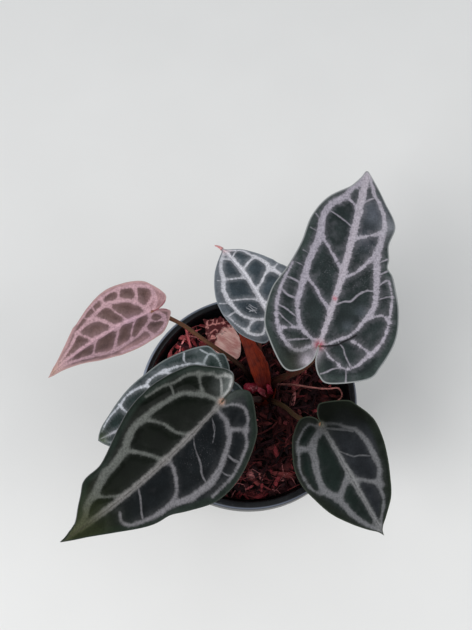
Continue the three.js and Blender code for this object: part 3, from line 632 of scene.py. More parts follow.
class Shader:
    """A material's node tree, with short calls that add linked nodes."""

    def __init__(self, name):
        self.material = bpy.data.materials.new(name)
        self.material.use_nodes = True
        self.tree = self.material.node_tree
        self.surface = self.tree.nodes["Principled BSDF"]

    def add(self, kind, inputs, **settings):
        made = self.tree.nodes.new(kind)
        for key, value in settings.items():
            setattr(made, key, value)
        for key, value in inputs.items():
            self.put(made.inputs[key], value)
        return made

    def put(self, socket, value):
        if isinstance(value, bpy.types.NodeSocket):
            self.tree.links.new(value, socket)
        else:
            socket.default_value = value

    def math(self, operation, a, b):
        return self.add("ShaderNodeMath", {0: a, 1: b}, operation=operation).outputs[0]

    def times(self, a, b):
        return self.math("MULTIPLY", a, b)

    def plus(self, a, b):
        return self.math("ADD", a, b)

    def about_zero(self, noise, height):
        """Noise of 0 to 1 as a swing of that height about zero."""
        return self.times(self.math("SUBTRACT", noise, 0.5), height)

    def ramp(self, value, low, high, start=0.0, end=1.0):
        """Goes smoothly from start to end as value goes from low to high."""
        return self.add("ShaderNodeMapRange", {0: value, 1: low, 2: high, 3: start, 4: end},
                        interpolation_type="SMOOTHSTEP").outputs[0]

    def mix(self, share, a, b, blend="MIX"):
        settings = dict(data_type="RGBA", blend_type=blend)
        return self.add("ShaderNodeMix", {0: share, 6: a, 7: b}, **settings).outputs[2]

    def over(self, look, colour, share):
        """The look with a share of a seen colour laid over it."""
        return self.mix(share, look, linear(colour))

    def shade(self, colour, value):
        """The colour with its brightness multiplied by value."""
        tone = self.add("ShaderNodeCombineColor", {0: value, 1: value, 2: value}).outputs[0]
        return self.mix(1.0, colour, tone, "MULTIPLY")

    def place(self):
        """The place on the object, in metres."""
        return self.add("ShaderNodeTexCoord", {}).outputs["Object"]

    def number(self, name, output="Fac"):
        """A number that is stored with each point."""
        return self.add("ShaderNodeAttribute", {}, attribute_name=name).outputs[output]

    def colour(self, name):
        return self.number(name, "Color")

    def vector_math(self, operation, vector, other=(0, 0, 0), output=0):
        return self.add("ShaderNodeVectorMath", {0: vector, 1: other}, operation=operation).outputs[output]

    def grain(self, scale):
        """The place on a piece's own grain in mm, scaled along each axis."""
        return self.vector_math("MULTIPLY", self.number("grain", "Vector"), scale)

    def pattern(self, size, vector):
        """Where and how large a pattern is: `size` in mm, on the object or on a vector in mm."""
        if vector is None:
            return {"Vector": self.place(), "Scale": 1 / (size * MM)}
        return {"Vector": vector, "Scale": 1 / size}

    def cell_edges(self, size, vector=None):
        """Distance to the nearest edge between cells of that size."""
        return self.add("ShaderNodeTexVoronoi", self.pattern(size, vector),
                        feature="DISTANCE_TO_EDGE").outputs["Distance"]

    def noise(self, size, detail=3.0, vector=None, rough=0.5):
        """Noise from 0 to 1 with bumps of about that size."""
        inputs = {**self.pattern(size, vector), "Detail": detail, "Roughness": rough}
        return self.add("ShaderNodeTexNoise", inputs).outputs["Fac"]

    def relief(self, height, strength, depth_mm):
        """Fine bumps that only bend the light."""
        inputs = {"Height": height, "Strength": strength, "Distance": depth_mm * MM}
        self.put(self.surface.inputs["Normal"], self.add("ShaderNodeBump", inputs).outputs[0])

    def finish(self, colour, rough, gloss):
        self.put(self.surface.inputs["Base Color"], colour)
        self.put(self.surface.inputs["Roughness"], rough)
        self.surface.inputs["Specular IOR Level"].default_value = gloss
        return self.material


def blade_top_material(name, tones):
    """Dark velvety cells between frosted veins with ragged edges."""
    s = Shader(name)
    haze, soft = tones.get("haze", 1.0), tones.get("soft", 0.0)
    main, fine, along, core = (s.number(key) for key in ("main", "fine", "along", "core"))
    across_vein = s.add("ShaderNodeCombineXYZ", {0: along, 1: s.times(main, 0.3)}).outputs[0]
    streak = s.noise(0.6, 2.0, across_vein, 0.6)
    grain = s.noise(0.8, 4.0, None, 0.6)
    ragged = s.plus(s.about_zero(grain, 1.5), s.about_zero(streak, 1.9))
    ragged = s.plus(ragged, s.about_zero(s.noise(2.4, 2.0), 1.7))
    ragged = s.times(ragged, tones.get("ragged", 1.0))
    vein = s.ramp(s.plus(main, ragged), -0.62 - soft, 0.34 + soft, 1.0, 0.0)
    halo = s.ramp(s.plus(main, s.times(ragged, 1.7)), 0.0, 2.2, 0.15 * haze, 0.0)
    thin = s.ramp(s.plus(fine, s.times(ragged, 0.35)), -0.3, 0.3, 0.75, 0.0)
    frost = s.math("MAXIMUM", s.math("MAXIMUM", vein, halo), thin)

    mottle = s.ramp(s.noise(5.5, 4.0), 0.3, 0.7, 0.8, 1.2)
    netted = s.ramp(s.cell_edges(1.1), 0.0, 0.12, 1.28, 0.95)
    cells = s.shade(s.colour("cell"), s.times(mottle, netted))
    # Painted sheen: soft lighter patches on the cells, drawn toward the vein colour.
    painted_sheen = s.ramp(s.noise(8, 3.0, None, 0.6), 0.5, 0.78, 0.0, 0.13 * haze)
    cells = s.mix(painted_sheen, cells, s.colour("vein"))
    # Painted glints: pale dots of sparkle laid on the cells inside the patches set for each blade.
    sparkle = s.times(s.ramp(s.noise(0.5, 3.0, None, 0.7), 0.6, 0.7), s.number("fleck"))
    cells = s.mix(s.times(sparkle, 0.6), cells, s.colour("vein"))
    silver = s.shade(s.colour("vein"), s.ramp(s.noise(0.8, 4.0, None, 0.7), 0.3, 0.66, 0.64, 1.2))
    look = s.mix(frost, cells, silver)

    # Along the midrib: blades with a `line` colour get painted shade in the midrib's groove; the others get
    # their pale core tint.
    rib = s.times(s.ramp(core, 0.05, 0.4, 0.5, 0.0), s.ramp(s.noise(2.0, 3.0), 0.35, 0.6, 0.2, 1.0))
    look = s.over(look, tones.get("line", tones["core"]), rib)
    # Painted highlight: a thin line along the blade's rim in the `edge` colour.
    look = s.over(look, tones["edge"], s.ramp(s.number("edge"), 0.2, 0.75, 0.85, 0.0))
    # Marks: the dark one on back_right is a painted shadow under its fold, the pale one along front_left's
    # edge is a painted highlight.
    if "mark" in tones:
        mark = s.ramp(s.plus(s.number("mark"), s.times(ragged, 0.1)), 0.0, 0.3, 0.8, 0.0)
        look = s.over(look, tones["mark"]["colour"], mark)

    tiny = s.noise(0.22, 3.0)
    s.relief(s.plus(s.times(tiny, 0.5), s.times(frost, 0.4)), 0.35, 0.25)
    return s.finish(look, s.ramp(frost, 0.0, 1.0, 0.46, 0.6), tones.get("gloss", 0.09))


def blade_under_material(name, tones):
    """The paler, duller underside with ribs that stand out."""
    s = Shader(name)
    under = np.array(tones["under"])
    rib = s.ramp(s.number("main"), -0.6, 0.3, 1.0, 0.0)
    net = s.cell_edges(1.4)
    base = s.mix(s.ramp(s.noise(7, 4.0), 0.35, 0.65), linear(under * 0.86), linear(under * 1.06))
    base = s.over(base, under * 1.3, s.ramp(net, 0.0, 0.1, 0.25, 0.0))
    look = s.over(base, under * 1.28 + (14, -2, -2), s.times(rib, 0.8))
    # Painted highlight: a thin line along the rim in the `edge` colour.
    look = s.over(look, tones["edge"], s.ramp(s.number("edge"), 0.2, 0.7, 0.6, 0.0))
    s.relief(s.noise(0.4, 3.0), 0.3, 0.2)
    return s.finish(look, 0.62, 0.3)


# Leaf blades. The same formulas as in the part's solids, on whole grids of points.

def half_outline(leaf, half):
    """The edge of half a flat blade, as a function of the share of its way from the sinus to the tip."""
    lobe, lobe_at, sinus, widths = (half[key] for key in ("lobe", "lobe_at", "sinus", "widths"))
    lobe_at += half.get("fuller", 0)
    blunt = [(half["tip"], BLUNT_AT * leaf["length"])] if "tip" in half else []
    line = smooth_line([
        (0, 0), (sinus, -0.5 * lobe), (0.42 * lobe_at + 0.3 * sinus, -0.9 * lobe), (lobe_at, -lobe),
        (widths[0], -0.5 * lobe),
        *[(w, s * leaf["length"]) for w, s in zip(widths[1:], STATIONS)],
        *blunt, (0, leaf["length"]),
    ])
    reach = reach_of(line)
    reach /= reach[-1]

    def at(t):
        return np.stack([np.interp(t, reach, line[:, k]) for k in (0, 1)], -1)

    def outline(t):
        t = np.asarray(t, float)
        along = at(t + 0.01) - at(t - 0.01)
        along /= np.linalg.norm(along, axis=-1, keepdims=True)
        depth = sum((d * np.exp(-(((t - p) / w) ** 2)) for p, d, w in half.get("dents", [])), 0.0 * t)
        return at(t) + np.stack([-along[..., 1], along[..., 0]], -1) * depth[..., None]

    return outline


def flat_place(leaf, outline, t, v):
    """The place (distance from the midrib, distance along it) on the flat blade."""
    t, v = np.asarray(t, float), np.asarray(v, float)
    edge = outline(t)
    start = leaf["length"] * np.clip((t - FAN_END) / (1 - FAN_END), 0, 1)
    return np.stack([edge[..., 0] * v, start + v * (edge[..., 1] - start)], -1)


def leaf_axes(leaf):
    """Directions across, along and out of the blade at its junction."""
    heading, pitch, roll = (math.radians(leaf[key]) for key in ("heading", "pitch", "roll"))
    ahead = level_way(heading)
    level = np.array([ahead[1], -ahead[0], 0])
    along = ahead * math.cos(pitch) + np.array([0, 0, math.sin(pitch)])
    across = level * math.cos(roll) + np.cross(level, along) * math.sin(roll)
    return across, along, np.cross(across, along)


def blade_point(leaf, side, x, y, t, v, height):
    """Lifts a place of the flat blade and sets it into space."""
    ahead, behind = np.maximum(y, 0), np.minimum(y, 0)
    length, (wave, waves, phase) = leaf["length"], leaf["wave"]
    mean_width = (leaf["right"]["widths"][2] + leaf["left"]["widths"][2]) / 2
    taper = np.clip((length - y) / (0.35 * length), 0, 1)
    shift = 0 if side > 0 else 0.37  # keeps the waves of the two halves apart
    ripple = wave * v * v * np.minimum(4 * t, 1) * np.sin(TAU * (waves * t + phase + shift))
    lift = (math.tan(math.radians(leaf["fold"])) * (np.sqrt(x * x + 4) - 2) * (0.35 + 0.65 * taper)
            - 0.06 * x * x / mean_width - leaf["lobe_drop"] * (behind / 20) ** 2 + ripple + height)
    bend = math.radians(leaf["droop"]) / length
    turn = bend * ahead
    local = (side * x + leaf["sweep"] * length * (ahead / length) ** 2,
             np.sin(turn) / bend + behind + lift * np.sin(turn),
             -(1 - np.cos(turn)) / bend + lift * np.cos(turn))
    return np.array(leaf["at"]) + sum(part[..., None] * axis for part, axis in zip(local, leaf_axes(leaf)))


def nearest(line, places):
    """Distance from each place to the line, and how far along the line the nearest point is."""
    distance, along = np.full(len(places), FAR), np.zeros(len(places))
    near = np.all((places > line.min(0) - FAR) & (places < line.max(0) + FAR), axis=1)
    p, a, d = places[near], line[:-1], np.diff(line, axis=0)
    size = (d**2).sum(1) + 1e-9
    f = np.clip(((p[:, None] - a) * d).sum(2) / size, 0, 1)
    gap = np.linalg.norm(p[:, None] - a - f[..., None] * d, axis=2)
    best = gap.argmin(1)
    rows = np.arange(len(p))
    distance[near] = np.minimum(gap[rows, best], FAR)
    along[near] = reach_of(line)[best] + f[rows, best] * np.sqrt(size[best])
    return distance, along


def drawn(leaf, outlines, side, points):
    """Places on the whole flat blade of points that are in percent on one half of it."""
    along, across = np.transpose(points) / 100
    return flat_place(leaf, outlines[side], along, across) * (side, 1)


def vein_fields(name, leaf, outlines, places):
    """For each place of the flat blade: distance to the edge of the nearest vein and veinlet in mm,
    to the middle of the nearest vein and of the midrib, and how far along that vein the place is."""
    midrib = np.array([(0, 0), (0, leaf["length"])], float)
    veins = [(leaf["midrib"], midrib, "main")]
    for side, key in SIDES.items():
        for kind, lines in (("main", VEINS[name, key]), ("fine", VEINLETS.get((name, key), []))):
            for widths, points in lines:
                line = drawn(leaf, outlines, side, points)
                veins.append((widths, smooth_line(line, 6) if len(line) > 2 else line, kind))
    main, along = np.zeros((2, len(places)))
    fine, middle = np.full((2, len(places)), FAR)
    for number, (widths, line, kind) in enumerate(veins):
        distance, reach = nearest(line, places)
        width = np.interp(reach / reach_of(line)[-1], np.linspace(0, 1, len(widths)), widths)
        gap = distance - width / 2
        if kind == "fine":
            fine = np.minimum(fine, gap)
            continue
        apart = 37 * number  # gives each vein streaks of its own
        along = np.where(distance < middle, reach + apart, along)
        middle = np.minimum(middle, distance)
        main += np.exp(-gap / VEIN_BLEND)
    return {"main": -VEIN_BLEND * np.log(main), "fine": fine, "along": along, "middle": middle,
            "core": nearest(midrib, places)[0]}


def blend(under, over, share):
    """The colours with a share of a seen colour laid over them."""
    return under * (1 - share) + np.array(linear(over)) * share


def wash_colours(leaf, outlines, tones, places, edge):
    """The colours of cells and veins at each place, and how much painted glint there is, where the cells
    sparkle.
    """
    x, y = places[:, :1], places[:, 1:]
    right = smoothstep(-3, 3, x)
    cell, vein = (blend(np.array(linear(tones[key][1])), tones[key][0], right) for key in ("cell", "vein"))
    margin = smoothstep(tones["margin_width"], tones["margin_width"] * 0.45, edge)[:, None]
    cell = blend(cell, tones["margin"], margin)
    vein = blend(vein, tones["core"], 0.7 * smoothstep(2.6, 0.9, np.abs(x)) * (y > 0))

    def nearness(side, spot, radius):
        return np.exp(-(((places - drawn(leaf, outlines, side, spot)) ** 2).sum(1) / radius**2))

    for *spot, cell_colour, vein_colour, strength in tones["washes"]:
        share = strength * nearness(*spot)[:, None]
        cell, vein = blend(cell, cell_colour, share), blend(vein, vein_colour, share)
    fleck = sum((nearness(*fleck) for fleck in tones.get("flecks", [])), np.zeros(len(places)))
    return cell, vein, np.minimum(fleck, 1)


def mark_field(leaf, outlines, mark, places):
    """Distance to the edge of the nearest marked line."""
    return np.min([nearest(smooth_line(drawn(leaf, outlines, side, points), 6), places)[0] - width / 2
                   for side, width, points in mark["lines"]], axis=0)


def blade_faces(grid):
    """Faces of a blade from point numbers [upper or lower, half, row, column].

    The underside uses every second row and column. The two halves share the junction, their
    midrib and the tip. Returns the faces and the material number of each.
    """
    same = grid.copy()
    fan = same.shape[2] * (FAN_END - FIRST_ROW) / (1 - FIRST_ROW)
    for face in (0, 1):
        same[face, 1, :, 0] = same[face, 0, :, 0]
        same[face, :, :int(fan) + 1, 0] = same[face, 0, 0, 0]
        same[face, :, -1, :] = same[face, 0, -1, 0]
    faces, slots = [], []
    for face, step in ((0, 1), (1, 2)):
        for half in (0, 1):
            g = same[face, half, ::step, ::step]
            loop = [g[:-1, :-1], g[:-1, 1:], g[1:, 1:], g[1:, :-1]]
            quads = np.stack(loop if half == face else loop[::-1], -1).reshape(-1, 4)
            faces += quads.tolist()
            slots += [face] * len(quads)
    for half in (0, 1):
        top, low = (np.r_[same[face, half, 0, :], same[face, half, 1:, -1]] for face in (0, 1))
        loop = [top[:-2:2], low[:-2:2], low[2::2], top[2::2], top[1:-1:2]]
        faces += np.stack(loop if half == 0 else loop[::-1], -1).tolist()
        slots += [1] * len(loop[0])
    whole = [list(dict.fromkeys(face)) for face in faces]
    kept = [k for k, face in enumerate(whole) if len(face) > 2]
    return [whole[k] for k in kept], [slots[k] for k in kept]


def blade(name, leaf, tones):
    """A leaf blade: both halves as grids of points, above and below, with their vein pattern."""
    rows, columns = GRIDS.get(name, SMALL_GRID)
    t, v = np.linspace(FIRST_ROW, 1, rows)[:, None], np.linspace(0, 1, columns)[None, :]
    outlines = {side: half_outline(leaf, leaf[key]) for side, key in SIDES.items()}
    flat = {side: flat_place(leaf, outlines[side], t, v) for side in SIDES}
    places = np.vstack([(flat[side] * (side, 1)).reshape(-1, 2) for side in SIDES])
    rim = np.vstack([(0, 0), flat[1][:, -1], flat[-1][::-1, -1] * (-1, 1), (0, 0)])
    edge, _ = nearest(rim, places)
    fields = vein_fields(name, leaf, outlines, places)
    cell, vein, fleck = wash_colours(leaf, outlines, tones, places, edge)
    attributes = {key: fields[key] for key in ("main", "fine", "along", "core")}
    attributes.update(edge=edge, cell=cell, vein=vein, fleck=fleck)

    def bulge(distance, height, reach):
        return height * np.exp(-((np.maximum(distance, 0) / reach) ** 2))

    rise = SWELL_HEIGHT * (1 - bulge(fields["middle"], 1, SWELL_REACH))
    rise -= bulge(fields["fine"], *VEINLET_GROOVE) + bulge(fields["core"], *MIDRIB_GROOVE)
    waves = wobble(np.c_[places, np.zeros(len(places))], BUMP_SIZE)
    rise += BUMP_HEIGHT * waves * smoothstep(0, 3, fields["main"])
    if "mark" in tones:
        attributes["mark"] = mark_field(leaf, outlines, tones["mark"], places)
        rise -= bulge(attributes["mark"], *MARK_GROOVE)
    thick = EDGE_THICKNESS + (BLADE_THICKNESS - EDGE_THICKNESS) * smoothstep(0, 1.6, edge)
    rib = bulge(fields["middle"], *UNDER_RIB) * smoothstep(0, 2, edge)
    size = rows * columns
    skins = []
    for height in (rise + thick / 2, rise - thick / 2 - rib):
        for half, side in enumerate(SIDES):
            part = height[half * size:(half + 1) * size].reshape(rows, columns)
            skins.append(blade_point(leaf, side, flat[side][..., 0], flat[side][..., 1], t, v, part))
    points = np.reshape(skins, (-1, 3))
    faces, slots = blade_faces(np.arange(4 * size).reshape(2, 2, rows, columns))
    used, index = np.unique(np.concatenate(faces), return_inverse=True)
    ends = np.cumsum([len(face) for face in faces])
    faces = [part.tolist() for part in np.split(index, ends[:-1])]
    attributes = {key: np.concatenate([values, values])[used] for key, values in attributes.items()}
    materials = [blade_top_material(f"leaf_top_{name}", tones),
                 blade_under_material(f"leaf_under_{name}", tones)]
    piece = make_piece(f"blade_{name}", points[used], faces, materials, attributes, slots)
    stand_for(piece, f"leaf_{name}")


def drip_tip():
    """The back leaf ends in a fine curled tail."""
    leaf = LEAVES["back"]
    length = leaf["length"]
    tip, before = (blade_point(leaf, 1, np.zeros(1), np.array([y]), np.ones(1), np.zeros(1), 0.3)[0]
                   for y in (length, length - 2))
    ahead = (tip - before) / np.linalg.norm(tip - before)
    line = even_line([tip - 1.6 * ahead, tip, tip + 1.0 * ahead + (-0.7, 0, 0.3),
                      tip + 1.1 * ahead + (-2.0, 0, 1.2)], 30)
    points, faces = tube(line, np.linspace(0.9, 0.28, 30), 12)
    s = Shader("drip_tip")
    look = s.mix(s.ramp(s.noise(1.2, 3.0), 0.35, 0.65), linear((196, 128, 128)), linear((222, 168, 166)))
    piece = make_piece("drip_tip", points, faces, [s.finish(look, 0.5, 0.2)])
    stand_for(piece, "leaf_back")


# Petioles, crown and new growth.

# Two colours of each stalk, and the share of its length over which its foot is painted near-black
# # as shade among the crown. front_left and under_left are painted darker overall as shaded copies.
STALKS = {
    "back_right": ((74, 56, 42), (92, 46, 38), 0.34),
    "front_left": ((26, 14, 13), (32, 13, 13), 0.5),
    "under_left": ((46, 32, 28), (58, 29, 27), 0.4),
    "young_pink": ((92, 74, 50), (116, 72, 54), 0.62),
    "back": ((74, 56, 42), (92, 46, 38), 0.34),
    "front_right": ((88, 76, 52), (96, 66, 48), 0.3),
}


def petiole_material(name):
    """Olive brown flushed with red, finely streaked along its length and speckled."""
    s = Shader(f"stalk_{name}")
    where = s.grain((1.0, 0.12, 1.0))
    streak = s.noise(0.5, 3.0, where)
    olive, flush, dark_foot = STALKS[name]
    look = s.mix(s.ramp(streak, 0.35, 0.65), linear(olive), linear(flush))
    spots = s.ramp(s.noise(0.45, 2.0), 0.64, 0.72)
    look = s.over(look, (160, 128, 100), s.times(spots, 0.5))
    look = s.over(look, (142, 100, 78), s.ramp(s.number("share"), 0.86, 0.98, 0.0, 0.55))
    # Painted shade: the stalk is near-black from its foot up to dark_foot, down among the crown.
    look = s.over(look, (30, 13, 13), s.ramp(s.number("share"), 0.08, dark_foot, 0.95, 0.0))
    s.relief(streak, 0.5, 0.15)
    return s.finish(look, 0.5, 0.14)


def petiole(name, leaf):
    """A stalk with a swollen foot, a shallow channel and a knee under the blade."""
    radius = leaf["petiole"]["radius"] * 0.86  # between the foot and the knee, which are thicker
    count, sides, knee_at = 90, 24, 0.93
    top = np.array(leaf["at"]) - leaf_axes(leaf)[2] * 0.2
    line = even_line([*leaf["petiole"]["route"], top], count)
    s, turn = np.linspace(0, 1, count)[:, None], full_turn(sides)[None, :]
    radii = radius * (1 + 0.35 * (1 - s) ** 3 + 0.3 * np.exp(-(((s - knee_at) / 0.06) ** 2)))
    rings = 1 + 0.05 * np.sin(s * 260) * np.exp(-(((s - knee_at) / 0.05) ** 2))
    channel = 1 - 0.16 * np.exp(-((np.angle(np.exp(1j * (turn - 1.3))) / 0.4) ** 2))
    skin = radii * rings * channel * (1 + 0.04 * wobble(grid_of(turn, s * 20, radius) * 2, 1.6))
    points, faces = tube(line, skin, sides)
    grain = grid_of(radius * np.cos(turn), s * reach_of(line)[-1], radius * np.sin(turn)).reshape(-1, 3)
    values = {"grain": np.vstack([grain, grain[0], grain[-1]]), "share": np.r_[np.repeat(s, sides), 0, 1]}
    piece = make_piece(f"stalk_{name}", points, faces, [petiole_material(name)], values)
    stand_for(piece, f"petiole_{name}")


def husk_material(name, rough=0.85, depth=0.5, dark=0.4):
    """Fibrous husk: streaks along each piece's own grain in its own tint, with painted highlights on the
    palest streaks.
    """
    s = Shader(name)
    streak = s.noise(0.7, 4.0, s.grain((0.16, 1.0, 1.0)), 0.65)
    patch = s.noise(3.2, 3.0, s.grain((1.0, 1.0, 1.0)))
    look = s.shade(s.colour("tint"), s.ramp(streak, 0.28, 0.74, dark, 1.35))
    look = s.shade(look, s.ramp(patch, 0.3, 0.7, 0.7, 1.25))
    # Painted highlights: the palest streaks along the grain are lifted to 3.5 times the tint.
    look = s.mix(s.ramp(streak, 0.66, 0.8, 0.0, 0.35), look, s.shade(s.colour("tint"), 3.5))
    s.relief(s.plus(streak, s.times(s.noise(0.25, 2.0), 0.4)), 0.9, depth)
    return s.finish(look, rough, 0.3)


def papery_strip(line, half_widths, curl, thickness, rows, columns, seed):
    """A dry leaf sheath: a strip with a channelled section, ragged edges and ribs along it.

    Returns its points and faces, and for each point its place on the grain and its share of the
    length.
    """
    ahead = unit(np.gradient(line, axis=0))
    across = unit(np.cross(ahead, (0, 0, 1)))
    up = np.cross(across, ahead)[:, None]
    s, share = np.linspace(0, 1, rows)[:, None], np.linspace(-1, 1, columns)[None, :]
    half = np.interp(s, np.linspace(0, 1, len(half_widths)), half_widths)
    ragged = 1 + 0.07 * wobble(grid_of(s * 40, np.sign(share) * 9, seed), 1.5)
    angle = (share * curl * ragged)[..., None]
    out = np.sin(angle) * across[:, None] - np.cos(angle) * up
    ribs = 0.1 * np.sin(share * 26 + seed) + 0.16 * wobble(grid_of(s * 12, share * 5, seed), 1.3)
    thin = thickness * (0.35 + 0.65 * (1 - np.abs(share) ** 3))
    centre = line[:, None] + up * (half * 0.6)[..., None]
    outer = centre + out * (half + ribs)[..., None]
    inner = centre + out * (half + ribs - thin)[..., None]
    g = np.arange(2 * rows * columns).reshape(2, rows, columns)

    def quads(a):
        return np.stack([a[:-1, :-1], a[1:, :-1], a[1:, 1:], a[:-1, 1:]], -1).reshape(-1, 4).tolist()

    def wall(a, b):
        return np.stack([a[:-1], b[:-1], b[1:], a[1:]], -1).tolist()

    faces = quads(g[0]) + [face[::-1] for face in quads(g[1])]
    faces += wall(g[0, :, 0], g[1, :, 0]) + wall(g[1, :, -1], g[0, :, -1])
    faces += wall(g[1, 0], g[0, 0]) + wall(g[0, -1], g[1, -1])
    grain = grid_of(reach_of(line)[:, None], share * half.mean(), seed * 5.0).reshape(-1, 3)
    along = np.tile(np.repeat(s, columns), 2)
    return np.reshape([outer, inner], (-1, 3)), faces, np.vstack([grain, grain]), along


def sheath_material(name, foot=(92, 20, 28), rough=0.45, gloss=0.22):
    """Rusty dry skin, darker towards its foot."""
    s = Shader(name)
    streak = s.noise(0.55, 4.0, s.grain((0.1, 1.0, 1.0)), 0.6)
    look = s.mix(s.ramp(streak, 0.25, 0.75), linear((118, 33, 15)), linear((158, 55, 27)))
    look = s.over(look, (80, 20, 15), s.ramp(s.noise(3.4, 3.0), 0.45, 0.7, 0.0, 0.65))
    look = s.over(look, foot, s.ramp(s.number("share"), 0.0, 0.3, 0.9, 0.0))
    s.relief(streak, 0.4, 0.2)
    return s.finish(look, rough, gloss)


def sheath():
    """The dry, rust-coloured sheath that stands up behind the crown."""
    line = even_line([(7.8, 4.6, 83), (5.6, 11.6, 91.5), (2.4, 17.6, 98), (-1.4, 23.4, 104),
                      (-4.6, 28, 108.5)], 110)
    half_widths = [3.8, 4.7, 5.2, 4.8, 3.8, 2.6, 0.9]
    points, faces, grain, along = papery_strip(line, half_widths, 0.95, 0.8, 110, 32, 1.0)
    piece = make_piece("dry_sheath", points, faces, [sheath_material("dry_sheath")],
                       {"grain": grain, "share": along})
    stand_for(piece, "rust_sheath")


def crown():
    """The short stem, wrapped in the torn feet of old sheaths."""
    x, y, bottom, top, radius = (CROWN[key] for key in ("x", "y", "bottom", "top", "radius"))
    profile = smooth_line([(radius - 1.6, bottom), (radius - 0.8, 60), (radius - 0.2, 70),
                           (radius + 0.7, 76), (radius + 1, 79), (radius + 0.2, top),
                           (radius - 2, top + 2)], 6)
    points, faces = revolve(profile, 48)
    points = points * (1 + 0.06 * wobble(points, 3)[:, None] * (1, 1, 0)) + (x, y, 0)
    heap = Heap()
    heap.add(points, faces, grain=points[:, [2, 0, 1]], share=0.0)
    draw = np.random.default_rng(11)
    collar = 79.5  # the height from which the torn strips lean out
    for k in range(15):
        inner = k > 8
        a = k * (1.1 if inner else 0.72) + draw.uniform(-0.15, 0.15)
        out = level_way(a)
        base = np.array([x, y, 0]) + out * (2.6 if inner else radius + 0.2)
        lean = draw.uniform(0.2, 1.8)
        tall = draw.uniform(2.5, 4.5) if inner else draw.uniform(3, 7.5)
        line = even_line([base + (0, 0, MIX_LEVEL), base + out * 0.4 + (0, 0, 76),
                          base + out * 0.5 * lean + (0, 0, collar),
                          base + out * lean + (0, 0, collar + tall)], 26)
        points, faces, grain, along = papery_strip(line, [2.6, 2.6, 2.0, 0.5], 0.9, 0.35, 26, 12, k + 2.0)
        heap.add(points, faces, grain=grain, share=0.02 + 0.1 * along)
    material = sheath_material("crown_husk", (26, 9, 10), 0.85, 0.05)
    stand_for(heap.piece("crown", material), "crown_stem")


def bud():
    """Tightly rolled new growth with a spiral seam, and the two crimson scales at its foot."""
    count, sides = 40, 28
    line = even_line([(3.4, 4.6, 85.6), (0.8, 5, 87.6), (-2, 4.8, 88)], count)
    s = np.linspace(0, 1, count)
    radii = 2.6 * (0.75 + 0.9 * s - 1.35 * s * s) * (1 + 0.14 * np.sin(9 * s))
    turn = full_turn(sides)
    seam = np.angle(np.exp(1j * (turn[None, :] - 2.0 - 2.2 * s[:, None])))
    skin = radii[:, None] * (1 - 0.22 * np.exp(-((seam / 0.22) ** 2)) + 0.08 * seam / math.pi)
    heap = Heap()
    heap.add(*tube(line, skin, sides), share=np.r_[np.repeat(s, sides), 0, 1])
    scales = [[(9, 2.6, 82), (6.4, 3.6, 85), (3.4, 5, 87.5)],
              [(10.8, 2.6, 80.5), (10.2, 4.2, 83.6), (8.8, 6.6, 86.2)]]
    for k, route in enumerate(scales):
        line = even_line(route, 30)
        points, faces, _, along = papery_strip(line, [1.5, 2.0, 1.6, 0.5], 0.9, 0.5, 30, 14, k + 4.0)
        heap.add(points, faces, share=0.9 * along)
    m = Shader("rolled_bud")
    look = m.mix(m.ramp(m.number("share"), 0.2, 1.0), linear((92, 13, 27)), linear((172, 34, 62)))
    look = m.over(look, (60, 9, 18), m.ramp(m.noise(1.1, 3.0, None, 0.6), 0.52, 0.7, 0.0, 0.6))
    # Painted highlights: pale pink spots where light glints on the bud.
    look = m.over(look, (204, 104, 120), m.ramp(m.noise(0.8, 3.0), 0.6, 0.72, 0.0, 0.6))
    m.relief(m.noise(0.6, 3.0), 0.6, 0.3)
    stand_for(heap.piece("rolled_bud", m.finish(look, 0.36, 0.4)), "crimson_bud")


# Pot.

def pot_material():
    """Satin black moulded plastic with fine scuffs, a painted highlight on the rim and a painted reflection
    at its back left.
    """
    s = Shader("black_plastic")
    scuff = s.ramp(s.noise(1.6, 5.0, None, 0.7), 0.5, 0.75)
    dust = s.ramp(s.noise(14, 4.0), 0.42, 0.68)
    look = s.mix(s.times(dust, 0.5), linear((9, 10, 13)), linear((24, 26, 31)))
    look = s.over(look, (80, 84, 92), s.times(scuff, 0.12))
    height = s.add("ShaderNodeSeparateXYZ", {0: s.place()}).outputs[2]
    radius = s.vector_math("LENGTH", s.vector_math("MULTIPLY", s.place(), (1, 1, 0)), output="Value")
    back_left = s.vector_math("DOT_PRODUCT", s.place(), (-0.7, 0.7, 0), "Value")

    def band(value, size, low, high, end=1.0):
        """Goes from 0 to end as the value goes from low to high, both in mm short of the size."""
        return s.ramp(value, (size - low) * MM, (size - high) * MM, 0.0, end)

    rim, top = POT["rim_radius"], POT["height"]
    # Painted highlight: a thin grey-blue line along the outer edge of the rim's top.
    painted_rim_highlight = s.times(band(height, top, 0.9, 0.2, 0.9), band(radius, rim, 1.0, 0.5))
    look = s.over(look, (98, 104, 118), painted_rim_highlight)
    # Painted reflection: a paler band on the rim's top towards the back left.
    painted_rim_reflection = s.times(band(radius, rim, 1.5, 1.0), s.ramp(back_left, 10 * MM, 36 * MM, 0.0, 0.9))
    painted_rim_reflection = s.times(painted_rim_reflection, band(height, top, 1.2, 0.4))
    look = s.over(look, (140, 150, 166), painted_rim_reflection)
    s.relief(s.noise(0.35, 3.0), 0.25, 0.1)
    return s.finish(look, s.ramp(scuff, 0.0, 1.0, 0.34, 0.5), 0.36)


def rounded(profile, radius):
    """The profile with its corners rounded off."""
    p = np.asarray(profile, float)
    line = [p[0]]
    for a, b, c in zip(p, p[1:], p[2:]):
        into, out = a - b, c - b
        cut = min(radius, np.linalg.norm(into) / 2.2, np.linalg.norm(out) / 2.2)
        start, end = b + into / np.linalg.norm(into) * cut, b + out / np.linalg.norm(out) * cut
        for f in np.linspace(0, 1, 4):
            line.append((1 - f) ** 2 * start + 2 * f * (1 - f) * b + f * f * end)
    return np.array([*line, p[-1]])


